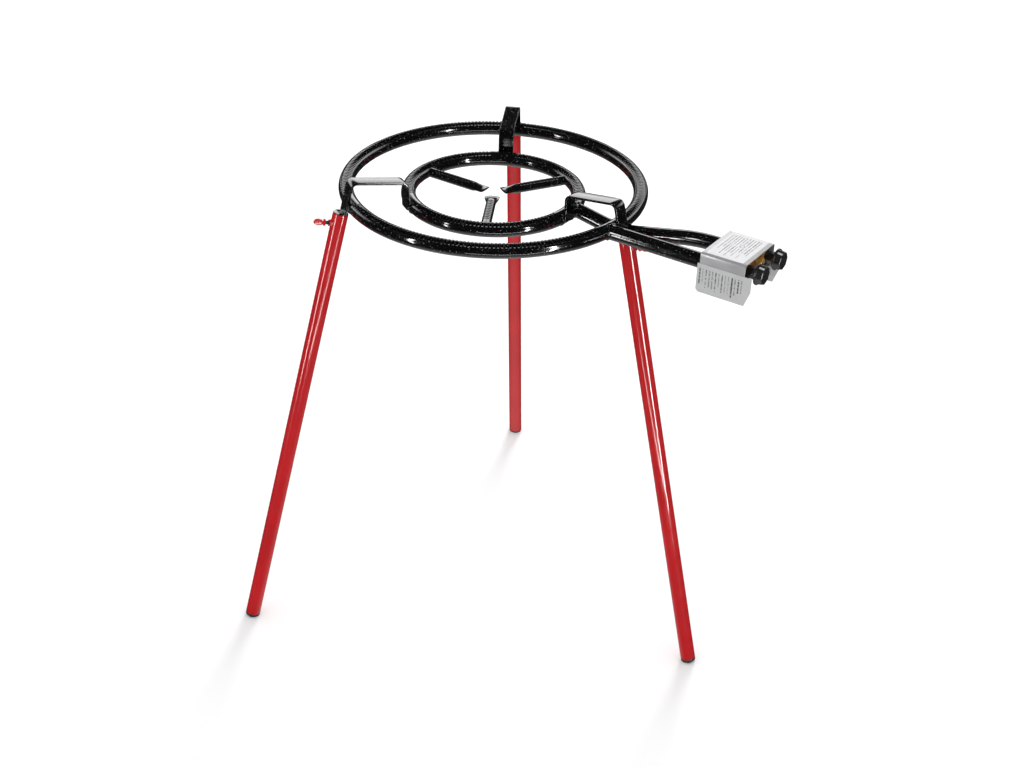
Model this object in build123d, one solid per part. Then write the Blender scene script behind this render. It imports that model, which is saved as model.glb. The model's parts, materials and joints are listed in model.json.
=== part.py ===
from build123d import *
import math
import os

# Two-ring gas burner for paella pans on a detachable three-legged stand.
# Lengths are millimetres and angles are degrees. The model is drawn about the axis of the
# rings: z = 0 is the centre plane of the outer ring, +X runs out along the handle to the
# knobs and +Z is up. At the end everything is moved so that the origin is at floor level,
# under the middle of the whole burner.

# ---- rings -------------------------------------------------------------------------------
outer_ring_radius = 238.0
inner_ring_radius = 138.0
inner_ring_drop = 14.0
ring_tube_radius = 12.0
ring_wall = 2.0
ring_segments = 3

# ---- flame ports, sawn across the top of the tubes ----------------------------------------
port_pitch = 6.0
port_width = 3.0
port_floor = 8.2          # height of the saw cut's bottom above the tube's centre
port_margin = 9.0         # plain tube left on each side of a bracket or a pipe

# ---- spokes of the inner ring ---------------------------------------------------------------
spoke_count = 3
spoke_first_angle = -60.7
spoke_tube_radius = 8.0
spoke_wall = 1.5
spoke_port_floor = 6.0
spoke_tip_gap = 17.0      # from the rings' axis to the crimped end
spoke_crimp_length = 20.0
spoke_crimp_width = 25.0
spoke_crimp_thickness = 4.0
spoke_lip = 5.0           # flat stretch at the very end

# ---- supply pipes ---------------------------------------------------------------------------
pipe_radius = 12.0
pipe_wall = 2.0
pipe_collar_gap = 0.4     # between the outer pipe and the collar over the handle leg
inner_pipe_y = 28.0
handle_length = 190.0     # from the outer ring's centre line to the pipes' open ends
feed_port_wall = 3.5      # tube left around the hole that feeds a ring
under_ring_gap = 1.5      # between the inner pipe and the outer ring above it
dip_start_outside = 124.0 # corners of the inner pipe's dip, from the outer ring's centre line
dip_bottom_outside = 4.0
dip_bottom_inside = 38.0
dip_start_bend = 300.0
dip_bottom_bend = 120.0

# ---- pan brackets and the legs' sockets -----------------------------------------------------
bracket_count = 3
handle_leg_y = -13.513    # rim of the leg under the handle, beside the rings' axis
bar_width = 25.0
bar_thickness = 4.0
bar_edge_radius = 0.8
bar_bend_radius = 9.0
bar_weld_bite = 1.0       # depth by which a bar is coped into a ring's tube
bar_height_inner = 28.0   # centre of the bar above the outer ring's centre
bar_height_outer = 41.0
bar_foot_below_inner_ring = 3.0
splay_angle = 14.0

# ---- legs -------------------------------------------------------------------------------------
leg_outside_ring = 5.2    # leg axis outside the outer ring's tube, square to the leg
leg_rim_gap = 2.6         # leg's rim below the outer ring's tube, along the leg
leg_length = 771.0
leg_radius = 12.5
leg_wall = 1.5
peg_clearance = 0.08
peg_length = 55.0
peg_point = 2.0
peg_collar_inset = 0.6    # collar's edge inside the leg's outer wall
peg_collar_height = 1.2

# ---- foot caps ----------------------------------------------------------------------------------
cap_height = 6.0
cap_edge_radius = 2.5
cap_plug_length = 22.0
cap_plug_wall = 2.5
floor_below_leg_end = 6.2

# ---- clamp nut and thumb screw on each leg ------------------------------------------------------
screw_below_rim = 18.0
screw_radius = 3.0
screw_clearance = 0.06
screw_hole_clearance = 0.3
screw_tip_gap = 0.3
nut_across_flats = 10.0
nut_height = 4.0
screw_bare_length = 6.0
screw_collar_length = 4.0
screw_collar_radius = 6.0
screw_neck_radius = 3.4
paddle_length = 15.0
paddle_height = 11.0
paddle_thickness = 4.0

# ---- valve cover and its plates -------------------------------------------------------------------
cover_over_pipes = 24.0   # length of the cover that reaches back over the pipes
cover_length = 74.0
cover_gap_outer = 0.8     # between the cover's wall and the pipe beside it
cover_gap_inner = 5.3
cover_gap_top = 7.1
cover_sheet = 1.2
cover_bend_radius = 4.0
cover_lip = 12.0
plate_sheet = 0.8
plate_top = 3.0
plate_height = 47.0
plate_overhang_pipes = 3.0
plate_overhang_knobs = 12.0
plate_corner_width = 9.0
plate_corner_height = 24.0
plate_small_corner = 4.0
label_thickness = 0.3
label_margin_x = 7.0
label_margin_y = 5.0

# ---- support plate ----------------------------------------------------------------------------------
support_from_cover = 6.0  # plate's end inside the cover's end
support_length = 62.0
support_thickness = 2.0
support_weld_bite = 0.5
support_side_gap = 0.2
cover_screw_radius = 2.0
cover_screw_head_radius = 3.5
cover_screw_head_height = 2.4
cover_screw_from_end = 7.0
screw_hole_play = 0.2

# ---- gas manifold and inlet -----------------------------------------------------------------------
manifold_length = 14.0
manifold_height = 24.0
gas_passage_radius = 2.5
inlet_boss_radius = 8.0
inlet_boss_length = 18.0
inlet_offset = 4.5        # inlet beside the middle of the two valves
inlet_thread_radius = 5.72
inlet_thread_length = 14.0
manifold_screw_radius = 2.5
manifold_screw_head_radius = 4.5
manifold_screw_head_height = 3.0
manifold_screw_depth = 8.0
manifold_screw_spread = 11.0

# ---- valves -------------------------------------------------------------------------------------------
outer_valve_y = -30.3
inner_valve_y = 29.2
manifold_from_valve = 10.0
valve_axis_height = 4.5
valve_from_pipe = 10.0    # between a pipe's open end and its valve
valve_block_length = 28.0
valve_block_size = 20.0
neck_radius = 9.0
neck_length = 8.0
chamber_radius = 6.2
chamber_length = 12.0
plug_small_radius = 4.6
plug_large_radius = 5.8
plug_length = 16.0
plug_clearance = 0.05
plug_slot_width = 3.0
plug_slot_depth = 5.0
injector_thread_radius = 3.0
injector_thread_length = 5.0
injector_hex_across_flats = 9.0
injector_hex_length = 3.0
injector_nose_radius = 3.5
injector_tip_radius = 2.2
injector_nose_length = 10.0
injector_orifice_radius = 0.5
outlet_radius = 2.0

# ---- springs, spindles, gland nuts and knobs ------------------------------------------------------
push_travel = 2.5
spindle_radius = 3.0
spindle_clearance = 0.05
spindle_flat_depth = 1.0
spindle_collar_radius = 5.2
spindle_collar_length = 2.5
spring_radius = 4.5
spring_wire_radius = 0.45
spring_turns = 3
spring_end_gap = 0.1
gland_spigot_length = 3.0
gland_spigot_clearance = 0.05
gland_across_flats = 18.0
gland_length = 13.0
gland_crown_slope = 1.7   # radius lost per millimetre on the crown of a gland nut
knob_gap = 3.0            # knob to gland nut with the knob released
knob_length = 12.5
knob_skirt_radius = 16.8
knob_skirt_length = 3.0
knob_root_radius = 16.0
knob_face_radius = 14.2
knob_facets = 8
knob_edge_radius = 1.0
spindle_in_knob = 9.0

# ---- places that follow from the sizes above --------------------------------------------------------
inner_ring_z = -inner_ring_drop
ring_segment_span = 360.0 / ring_segments
feed_port_radius = pipe_radius - feed_port_wall
pipe_end_x = outer_ring_radius + handle_length
dip_start_x = outer_ring_radius + dip_start_outside
dip_bottom_start_x = outer_ring_radius + dip_bottom_outside
dip_bottom_end_x = outer_ring_radius - dip_bottom_inside
inner_feed_angle = math.degrees(math.asin(inner_pipe_y / inner_ring_radius))
spoke_angles = [spoke_first_angle + k * 360.0 / spoke_count for k in range(spoke_count)]
splay_sin = math.sin(math.radians(splay_angle))
splay_cos = math.cos(math.radians(splay_angle))
leg_offset = ring_tube_radius + leg_outside_ring
leg_rim_height = leg_offset * splay_sin - (ring_tube_radius + leg_rim_gap) * splay_cos
leg_rim_radius = outer_ring_radius + (leg_offset - leg_rim_height * splay_sin) / splay_cos
bracket_first_angle = math.degrees(math.asin(handle_leg_y / leg_rim_radius))
bracket_angles = [bracket_first_angle + k * 360.0 / bracket_count for k in range(bracket_count)]
floor_z = leg_rim_height - leg_length * splay_cos - floor_below_leg_end
leg_bore_radius = leg_radius - leg_wall
peg_collar_radius = leg_radius - peg_collar_inset


def pipe_place_beside_collar():
    """Sideways place of the outer pipe that keeps its gap to the collar's upper edge."""
    clear = pipe_radius + pipe_collar_gap
    collar_top = leg_rim_height + peg_collar_height * splay_cos
    reaches = []
    for turn in range(0, 91, 5):
        side = peg_collar_radius * math.sin(math.radians(turn))
        height = collar_top + peg_collar_radius * math.cos(math.radians(turn)) * splay_sin
        reaches.append(side + math.sqrt(max(0.0, clear**2 - height**2)))
    return handle_leg_y - max(reaches)


outer_pipe_y = pipe_place_beside_collar()
outer_feed_angle = math.degrees(math.asin(outer_pipe_y / outer_ring_radius))
cover_start_x = pipe_end_x - cover_over_pipes
cover_side_y = {
    -1: outer_pipe_y - pipe_radius - cover_gap_outer - cover_sheet,
    1: inner_pipe_y + pipe_radius + cover_gap_inner + cover_sheet,
}
cover_half_width = (cover_side_y[1] - cover_side_y[-1]) / 2
cover_centre_y = (cover_side_y[1] + cover_side_y[-1]) / 2
cover_top = pipe_radius + cover_gap_top + cover_sheet
support_start_x = cover_start_x + support_from_cover
support_top = -pipe_radius + support_weld_bite
support_bottom = support_top - support_thickness
valve_y = {"outer": outer_valve_y, "inner": inner_valve_y}
manifold_y = (outer_valve_y + inner_valve_y) / 2
inlet_y = manifold_y + inlet_offset
valve_start_x = pipe_end_x + valve_from_pipe
manifold_start_x = valve_start_x + manifold_from_valve
plug_start_x = valve_start_x + valve_block_length + neck_length - chamber_length - plug_length
chamber_start_x = plug_start_x + plug_length
neck_end_x = valve_start_x + valve_block_length + neck_length
gland_start_x = neck_end_x - gland_spigot_length
gland_end_x = neck_end_x + gland_length
knob_start_x = gland_end_x + knob_gap
spindle_collar_x = gland_start_x - spindle_collar_length


def along_x(x, y, z):
    """Place at (x, y, z) with the local +Z axis pointing out along the handle."""
    return Pos(x, y, z) * Rot(0, 90, 0)


def rod_x(start_x, y, z, radius, length):
    """Round bar parallel to the handle."""
    return along_x(start_x + length / 2, y, z) * Cylinder(radius, length)


def block(start, end):
    """Rectangular block between two opposite corners."""
    size = [end[i] - start[i] for i in range(3)]
    middle = [(end[i] + start[i]) / 2 for i in range(3)]
    return Pos(*middle) * Box(*size)


def hexagon_radius(across_flats):
    return across_flats / math.sqrt(3)


def tube_along(path, radius):
    """Solid round bar along a path."""
    start = Plane(origin=path @ 0, z_dir=path % 0)
    return sweep(start * Circle(radius), path=path)


def bent_strip(points, bend_radius, width, thickness, edge_radius=0.0):
    """Flat bar bent through points in the XZ plane, its width along Y."""
    corners = [(x, 0, z) for x, z in points]
    path = FilletPolyline(*corners, radius=bend_radius)
    start = Plane(origin=path @ 0, x_dir=(0, 1, 0), z_dir=path % 0)
    section = Rectangle(width, thickness)
    if edge_radius:
        section = RectangleRounded(width, thickness, edge_radius)
    return sweep(start * section, path=path)


def ring_arc(ring_radius, height, direction, tube_radius=ring_tube_radius):
    """Filled third of a ring, centred on a direction; also copes what is welded there."""
    section = Plane.XZ * Pos(ring_radius, height, 0) * Circle(tube_radius)
    return Rot(0, 0, direction - ring_segment_span / 2) * revolve(section, Axis.Z, ring_segment_span)


def leg_place(angle):
    """Local frame of a leg: origin on its axis at the rim, -Z down the leg, +X outward."""
    return Rot(0, 0, angle) * Pos(leg_rim_radius, 0, leg_rim_height) * Rot(0, -splay_angle, 0)


# ---- supply pipes -----------------------------------------------------------------------------------
def outer_pipe_bar(radius):
    start_x = math.sqrt(outer_ring_radius**2 - outer_pipe_y**2) + ring_wall * 2
    return rod_x(start_x, outer_pipe_y, 0, radius, pipe_end_x - start_x)


def inner_pipe_bar(radius):
    start_x = math.sqrt(inner_ring_radius**2 - inner_pipe_y**2) + ring_wall * 2
    low_z = -ring_tube_radius - pipe_radius - under_ring_gap
    path = FilletPolyline(
        (pipe_end_x, inner_pipe_y, 0),
        (dip_start_x, inner_pipe_y, 0),
        (dip_bottom_start_x, inner_pipe_y, low_z),
        (dip_bottom_end_x, inner_pipe_y, low_z),
        (start_x, inner_pipe_y, inner_ring_z),
        radius=[dip_start_bend, dip_bottom_bend, dip_bottom_bend],
    )
    return tube_along(path, radius)


def make_outer_supply_pipe():
    pipe = outer_pipe_bar(pipe_radius) - outer_pipe_bar(pipe_radius - pipe_wall)
    return pipe - ring_arc(outer_ring_radius, 0, outer_feed_angle)


def make_inner_supply_pipe():
    pipe = inner_pipe_bar(pipe_radius) - inner_pipe_bar(pipe_radius - pipe_wall)
    return pipe - ring_arc(inner_ring_radius, inner_ring_z, inner_feed_angle)


# ---- rings --------------------------------------------------------------------------------------------
def blocked_angles(ring_radius, feed_angle):
    """Directions around a ring where brackets and its pipe leave no room for ports."""
    bar_half = math.degrees((bar_width / 2 + port_margin) / ring_radius)
    pipe_half = math.degrees((pipe_radius + port_margin) / ring_radius)
    return [(angle, bar_half) for angle in bracket_angles] + [(feed_angle, pipe_half)]


def angle_between(first, second):
    return abs((first - second + 180.0) % 360.0 - 180.0)


def flame_ports(ring_radius, height, direction, blocked):
    """Saw cuts across the top of one segment, left out where something is welded."""
    count = round(2 * math.pi * ring_radius / port_pitch / ring_segments)
    lift = height + port_floor + ring_tube_radius / 2
    cut = Pos(ring_radius, 0, lift) * Box(2 * ring_tube_radius, port_width, ring_tube_radius)
    start = direction - ring_segment_span / 2
    angles = [start + ring_segment_span * (k + 0.5) / count for k in range(count)]
    return [
        Rot(0, 0, angle) * cut
        for angle in angles
        if all(angle_between(angle, centre) > half for centre, half in blocked)
    ]


def make_ring(ring_radius, height, segment_angles, holes, feed_angle):
    """Hollow ring of equal segments, each with its own holes and flame ports."""
    blocked = blocked_angles(ring_radius, feed_angle)
    ring = None
    for direction in segment_angles:
        segment = ring_arc(ring_radius, height, direction)
        segment -= ring_arc(ring_radius, height, direction, ring_tube_radius - ring_wall)
        for angle, hole in holes:
            if angle_between(angle, direction) < ring_segment_span / 2:
                segment -= hole
        segment -= flame_ports(ring_radius, height, direction, blocked)
        ring = segment if ring is None else ring + segment
    return ring


def make_outer_ring():
    feed_x = outer_ring_radius * math.cos(math.radians(outer_feed_angle))
    feed = rod_x(feed_x, outer_pipe_y, 0, feed_port_radius, 2 * ring_tube_radius)
    return make_ring(outer_ring_radius, 0, bracket_angles, [(outer_feed_angle, feed)], outer_feed_angle)


def make_inner_ring():
    feed_x = inner_ring_radius * math.cos(math.radians(inner_feed_angle))
    feed = rod_x(feed_x, inner_pipe_y, inner_ring_z, feed_port_radius, 2 * ring_tube_radius)
    drill_radius = spoke_tube_radius - 2 * spoke_wall
    drill_start = inner_ring_radius - 2 * ring_tube_radius
    holes = [(inner_feed_angle, feed)]
    for angle in spoke_angles:
        drill = rod_x(drill_start, 0, inner_ring_z, drill_radius, 2 * ring_tube_radius)
        holes.append((angle, Rot(0, 0, angle) * drill))
    return make_ring(inner_ring_radius, inner_ring_z, spoke_angles, holes, inner_feed_angle)


def make_spoke(angle):
    """Tube from the inner ring towards the axis, its end squeezed flat."""
    tube_start = spoke_tip_gap + spoke_lip + spoke_crimp_length
    tube_length = inner_ring_radius - 2 * ring_wall - tube_start
    round_end = along_x(tube_start, 0, 0) * Circle(spoke_tube_radius)
    flat_rim = along_x(spoke_tip_gap + spoke_lip, 0, 0)
    flat_section = Rot(0, 0, 90) * SlotOverall(spoke_crimp_width, spoke_crimp_thickness)
    spoke = rod_x(tube_start, 0, 0, spoke_tube_radius, tube_length)
    spoke += loft([round_end, flat_rim * flat_section])
    spoke += extrude(flat_rim * flat_section, -spoke_lip)
    spoke -= rod_x(tube_start, 0, 0, spoke_tube_radius - spoke_wall, tube_length)
    cuts = []
    for k in range(int((tube_length - 3 * port_pitch) / port_pitch)):
        x = tube_start + port_pitch * (k + 1)
        lift = spoke_port_floor + spoke_tube_radius / 2
        cuts.append(Pos(x, 0, lift) * Box(port_width, 2 * spoke_tube_radius, spoke_tube_radius))
    spoke -= cuts
    spoke = Rot(0, 0, angle) * Pos(0, 0, inner_ring_z) * spoke
    return spoke - ring_arc(inner_ring_radius, inner_ring_z, angle)


# ---- pan brackets and pegs ------------------------------------------------------------------------
def leg_line_radius(height, offset):
    """Radius, at a height, of the line parallel to a leg and offset from the outer ring."""
    return outer_ring_radius + (offset - height * splay_sin) / splay_cos


def make_bracket(angle):
    """Inverted-U bar that carries the pan, joins both rings and ends over a leg."""
    bar_offset = ring_tube_radius + bar_thickness / 2 - bar_weld_bite
    inner_x = inner_ring_radius + bar_offset
    points = [
        (inner_x, inner_ring_z - bar_foot_below_inner_ring),
        (inner_x, bar_height_inner),
        (leg_line_radius(bar_height_outer, bar_offset), bar_height_outer),
        (leg_line_radius(leg_rim_height, bar_offset), leg_rim_height),
    ]
    bar = Rot(0, 0, angle) * bent_strip(points, bar_bend_radius, bar_width, bar_thickness, bar_edge_radius)
    below_collar = Box(4 * leg_radius, 4 * leg_radius, 4 * leg_radius)
    bar -= leg_place(angle) * Pos(0, 0, peg_collar_height - 2 * leg_radius) * below_collar
    bar -= ring_arc(inner_ring_radius, inner_ring_z, angle)
    bar -= ring_arc(outer_ring_radius, 0, angle)
    return bar - outer_pipe_bar(pipe_radius)


def make_peg(angle):
    """Plug under a bracket: a collar that the leg's rim stops against and a long peg."""
    radius = leg_bore_radius - peg_clearance
    peg = Pos(0, 0, -peg_length / 2) * Cylinder(radius, peg_length)
    tip = peg.edges().sort_by(Axis.Z)[0]
    peg = chamfer(tip, peg_point)
    peg += Pos(0, 0, peg_collar_height / 2) * Cylinder(peg_collar_radius, peg_collar_height)
    return leg_place(angle) * peg


# ---- legs -------------------------------------------------------------------------------------------
def make_leg(angle):
    tube = Pos(0, 0, -leg_length / 2) * (
        Cylinder(leg_radius, leg_length) - Cylinder(leg_bore_radius, leg_length)
    )
    hole = rod_x(0, 0, -screw_below_rim, screw_radius + screw_hole_clearance, 2 * leg_radius)
    return leg_place(angle) * (tube - hole)


def make_foot_cap(angle):
    """Moulded cap on a leg's end, worn flat where it meets the floor."""
    cap = Pos(0, 0, -leg_length - cap_height / 2) * Cylinder(leg_radius, cap_height)
    cap = fillet(cap.edges().sort_by(Axis.Z)[0], cap_edge_radius)
    plug = Pos(0, 0, -leg_length + cap_plug_length / 2) * (
        Cylinder(leg_bore_radius, cap_plug_length)
        - Cylinder(leg_bore_radius - cap_plug_wall, cap_plug_length)
    )
    cap = leg_place(angle) * (cap + plug)
    below_floor = Pos(0, 0, floor_z - leg_length / 2) * Box(4 * leg_length, 4 * leg_length, leg_length)
    return cap - below_floor


def make_clamp_nut(angle):
    """Hexagon nut welded to the outside of a leg's wall."""
    seat = leg_bore_radius - screw_hole_clearance
    length = leg_radius + nut_height - seat
    nut = along_x(seat + length / 2, 0, -screw_below_rim) * extrude(
        RegularPolygon(hexagon_radius(nut_across_flats), 6), length / 2, both=True
    )
    nut -= rod_x(seat, 0, -screw_below_rim, screw_radius + screw_clearance, length)
    nut -= Pos(0, 0, -leg_length / 2) * Cylinder(leg_radius, leg_length)
    return leg_place(angle) * nut


def make_thumb_screw(angle):
    """Spade screw that presses on the peg through the clamp nut."""
    tip_x = leg_bore_radius - peg_clearance + screw_tip_gap
    collar_x = leg_radius + nut_height + screw_bare_length
    paddle_x = collar_x + screw_collar_length
    screw = rod_x(tip_x, 0, 0, screw_radius, collar_x - tip_x)
    collar = Cone(screw_collar_radius, screw_neck_radius, screw_collar_length)
    screw += along_x(collar_x + screw_collar_length / 2, 0, 0) * collar
    outline = Ellipse(paddle_length / 2 + paddle_thickness / 4, paddle_height / 2)
    paddle = Rot(90, 0, 0) * extrude(outline, paddle_thickness / 2, both=True)
    screw += Pos(paddle_x + paddle_length / 2 - paddle_thickness / 4, 0, 0) * paddle
    return leg_place(angle) * Pos(0, 0, -screw_below_rim) * screw


# ---- valve cover, plates and support -------------------------------------------------------------------
def make_valve_cover():
    """Sheet folded over the valves, with lips turned in underneath."""
    half = cover_half_width - cover_sheet / 2
    top = cover_top - cover_sheet / 2
    bottom = support_bottom - cover_sheet / 2
    points = [
        (half - cover_lip, bottom),
        (half, bottom),
        (half, top),
        (-half, top),
        (-half, bottom),
        (-half + cover_lip, bottom),
    ]
    sheet = bent_strip(points, cover_bend_radius - cover_sheet / 2, cover_length, cover_sheet)
    sheet = Pos(cover_start_x + cover_length / 2, cover_centre_y, 0) * Rot(0, 0, 90) * sheet
    holes = [
        Pos(x, y, bottom) * Cylinder(cover_screw_radius + screw_hole_play, 2 * cover_sheet)
        for x, y in cover_screw_places()
    ]
    return sheet - holes


def cover_screw_places():
    first_x = support_start_x + cover_screw_from_end
    last_x = min(support_start_x + support_length, cover_start_x + cover_length) - cover_screw_from_end
    reach = cover_half_width - cover_lip / 2
    return [(x, cover_centre_y + side * reach) for x in (first_x, last_x) for side in (-1, 1)]


def manifold_screw_places():
    x = manifold_start_x + manifold_length / 2
    return [(x, manifold_y - manifold_screw_spread), (x, manifold_y + manifold_screw_spread)]


def make_support_plate():
    """Plate welded under both pipes; it carries the manifold and holds the cover."""
    reach = cover_half_width - cover_bend_radius - support_side_gap
    low = (support_start_x, cover_centre_y - reach, support_bottom)
    high = (support_start_x + support_length, cover_centre_y + reach, support_top)
    plate = block(low, high)
    for x, y in cover_screw_places():
        plate -= Pos(x, y, support_top) * Cylinder(cover_screw_radius, 2 * support_thickness + 1)
    for x, y in manifold_screw_places():
        hole = Cylinder(manifold_screw_radius + screw_hole_play, 2 * support_thickness + 1)
        plate -= Pos(x, y, support_top) * hole
    return plate - outer_pipe_bar(pipe_radius) - inner_pipe_bar(pipe_radius)


def pan_head_screw(x, y, seat_z, radius, length, head_radius, head_height):
    """Screw put in from below, its head against seat_z."""
    screw = Pos(x, y, seat_z + length / 2) * Cylinder(radius, length)
    head = Pos(x, y, seat_z - head_height / 2) * Cylinder(head_radius, head_height)
    head = fillet(head.edges().sort_by(Axis.Z)[0], head_height / 3)
    return screw + head


def make_cover_screws():
    seat = support_bottom - cover_sheet
    length = support_top - seat
    size = (cover_screw_radius, length, cover_screw_head_radius, cover_screw_head_height)
    return Compound([pan_head_screw(x, y, seat, *size) for x, y in cover_screw_places()])


def make_manifold_screws():
    length = support_thickness + manifold_screw_depth
    size = (manifold_screw_radius, length, manifold_screw_head_radius, manifold_screw_head_height)
    return Compound([pan_head_screw(x, y, support_bottom, *size) for x, y in manifold_screw_places()])


def make_side_plate(side):
    """Thin information plate on one side of the cover, hanging below it."""
    left = cover_start_x - plate_overhang_pipes
    right = cover_start_x + cover_length + plate_overhang_knobs
    bottom = plate_top - plate_height
    outline = Polyline(
        (left, 0, plate_top),
        (right, 0, plate_top),
        (right, 0, bottom + plate_corner_height),
        (right - plate_corner_width, 0, bottom),
        (left + plate_small_corner, 0, bottom),
        (left, 0, bottom + plate_small_corner),
        close=True,
    )
    plate = extrude(make_face(outline), plate_sheet / 2, dir=(0, 1, 0), both=True)
    return Pos(0, cover_side_y[side] + side * plate_sheet / 2, 0) * plate


def make_top_label():
    low = (cover_start_x + label_margin_x, cover_side_y[-1] + label_margin_y, cover_top)
    high = (
        cover_start_x + cover_length - label_margin_x,
        cover_side_y[1] - label_margin_y,
        cover_top + label_thickness,
    )
    return block(low, high)


# ---- gas train -----------------------------------------------------------------------------------------
def make_manifold():
    """Brass bar between the valves, with the gas inlet facing out between the knobs."""
    reach = valve_block_size / 2
    low = (manifold_start_x, outer_valve_y + reach, support_top)
    high = (manifold_start_x + manifold_length, inner_valve_y - reach, support_top + manifold_height)
    boss_start = manifold_start_x + manifold_length
    body = block(low, high)
    body += rod_x(boss_start, inlet_y, valve_axis_height, inlet_boss_radius, inlet_boss_length)
    mouth = boss_start + inlet_boss_length
    thread_start = mouth - inlet_thread_length
    body -= rod_x(thread_start, inlet_y, valve_axis_height, inlet_thread_radius, inlet_thread_length)
    cross_x = manifold_start_x + manifold_length / 2
    body -= rod_x(cross_x, inlet_y, valve_axis_height, gas_passage_radius, thread_start - cross_x)
    passage_length = inner_valve_y - outer_valve_y
    passage = Rot(90, 0, 0) * Cylinder(gas_passage_radius, passage_length)
    body -= Pos(cross_x, manifold_y, valve_axis_height) * passage
    for x, y in manifold_screw_places():
        hole = Cylinder(manifold_screw_radius, 2 * manifold_screw_depth)
        body -= Pos(x, y, support_top) * hole
    return body


def make_valve_body(name):
    """Cock body: tapered seat, spring chamber, side inlet and injector thread."""
    y = valve_y[name]
    toward_middle = 1 if name == "outer" else -1
    half = valve_block_size / 2
    block_end = valve_start_x + valve_block_length
    body = block(
        (valve_start_x, y - half, valve_axis_height - half), (block_end, y + half, valve_axis_height + half)
    )
    body += rod_x(block_end, y, valve_axis_height, neck_radius, neck_length)
    body -= rod_x(chamber_start_x, y, valve_axis_height, chamber_radius, chamber_length)
    seat = Cone(plug_small_radius + plug_clearance, plug_large_radius + plug_clearance, plug_length)
    body -= along_x(plug_start_x + plug_length / 2, y, valve_axis_height) * seat
    body -= rod_x(valve_start_x, y, valve_axis_height, injector_thread_radius, injector_thread_length)
    body -= rod_x(valve_start_x, y, valve_axis_height, outlet_radius, plug_start_x - valve_start_x)
    port = Rot(90, 0, 0) * Cylinder(gas_passage_radius, half)
    port_x = manifold_start_x + manifold_length / 2
    return body - Pos(port_x, y + toward_middle * half / 2, valve_axis_height) * port


def make_injector(name):
    y = valve_y[name]
    hex_start = valve_start_x - injector_hex_length
    profile = RegularPolygon(hexagon_radius(injector_hex_across_flats), 6)
    jet = along_x(hex_start, y, valve_axis_height) * extrude(profile, injector_hex_length)
    jet += rod_x(valve_start_x, y, valve_axis_height, injector_thread_radius, injector_thread_length)
    nose = Cone(injector_tip_radius, injector_nose_radius, injector_nose_length)
    jet += along_x(hex_start - injector_nose_length / 2, y, valve_axis_height) * nose
    whole = injector_nose_length + injector_hex_length + injector_thread_length
    start = hex_start - injector_nose_length
    return jet - rod_x(start, y, valve_axis_height, injector_orifice_radius, whole)


def make_valve_plug(name):
    """Tapered plug with an L-shaped gas way and a slot for the spindle's tongue."""
    y = valve_y[name]
    taper = Cone(plug_small_radius, plug_large_radius, plug_length)
    plug = along_x(plug_start_x + plug_length / 2, y, valve_axis_height) * taper
    port_x = manifold_start_x + manifold_length / 2
    plug -= rod_x(plug_start_x, y, valve_axis_height, outlet_radius, port_x - plug_start_x)
    plug -= Pos(port_x, y, valve_axis_height + plug_large_radius / 2) * Cylinder(
        outlet_radius, plug_large_radius
    )
    slot_x = chamber_start_x - plug_slot_depth / 2
    slot = Box(plug_slot_depth, 4 * plug_large_radius, plug_slot_width)
    return plug - Pos(slot_x, y, valve_axis_height) * slot


def make_valve_spring(name):
    """Coil between the plug and the spindle's collar."""
    start = chamber_start_x + spring_end_gap + spring_wire_radius
    length = spindle_collar_x - spring_end_gap - spring_wire_radius - start
    line = Helix(length / spring_turns, length, spring_radius)
    wire = sweep(Plane(origin=line @ 0, z_dir=line % 0) * Circle(spring_wire_radius), path=line, is_frenet=True)
    return along_x(start, valve_y[name], valve_axis_height) * wire


def make_spindle(name):
    """Stem that pushes in against its spring and turns the plug by a flat tongue."""
    y = valve_y[name]
    tongue_start = chamber_start_x - plug_slot_depth + push_travel + spring_end_gap
    tongue = block(
        (tongue_start, y - spindle_radius, valve_axis_height - plug_slot_width / 2 + plug_clearance),
        (spindle_collar_x, y + spindle_radius, valve_axis_height + plug_slot_width / 2 - plug_clearance),
    )
    stem_end = knob_start_x + spindle_in_knob
    stem = rod_x(spindle_collar_x, y, valve_axis_height, spindle_radius, stem_end - spindle_collar_x)
    flat_low = (knob_start_x, y - spindle_radius, valve_axis_height + spindle_radius - spindle_flat_depth)
    flat_high = (stem_end, y + spindle_radius, valve_axis_height + 2 * spindle_radius)
    collar = rod_x(spindle_collar_x, y, valve_axis_height, spindle_collar_radius, spindle_collar_length)
    return tongue + stem + collar - block(flat_low, flat_high)


def make_gland_nut(name):
    """Hexagon nut that closes the valve and guides the spindle."""
    y = valve_y[name]
    profile = RegularPolygon(hexagon_radius(gland_across_flats), 6)
    nut = extrude(profile, gland_length)
    top_radius = gland_across_flats / 2
    crown = Cone(top_radius + gland_crown_slope * gland_length, top_radius, gland_length)
    nut = nut & Pos(0, 0, gland_length / 2) * crown
    nut = along_x(neck_end_x, y, valve_axis_height) * nut
    spigot_radius = chamber_radius - gland_spigot_clearance
    nut += rod_x(gland_start_x, y, valve_axis_height, spigot_radius, gland_spigot_length)
    whole = gland_end_x - gland_start_x
    return nut - rod_x(gland_start_x, y, valve_axis_height, spindle_radius + spindle_clearance, whole)


def make_knob(name):
    """Skirted knob whose grip narrows towards a faceted face."""
    y = valve_y[name]
    grip_length = knob_length - knob_skirt_length
    root = RegularPolygon(knob_root_radius, knob_facets)
    face = RegularPolygon(knob_face_radius, knob_facets)
    grip = loft([Pos(0, 0, knob_skirt_length) * root, Pos(0, 0, knob_length) * face])
    grip = chamfer(grip.edges().group_by(Axis.Z)[-1], knob_edge_radius)
    knob = grip + Pos(0, 0, knob_skirt_length / 2) * Cylinder(knob_skirt_radius, knob_skirt_length)
    knob = along_x(knob_start_x, y, valve_axis_height) * knob
    return knob - make_spindle(name)


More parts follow.
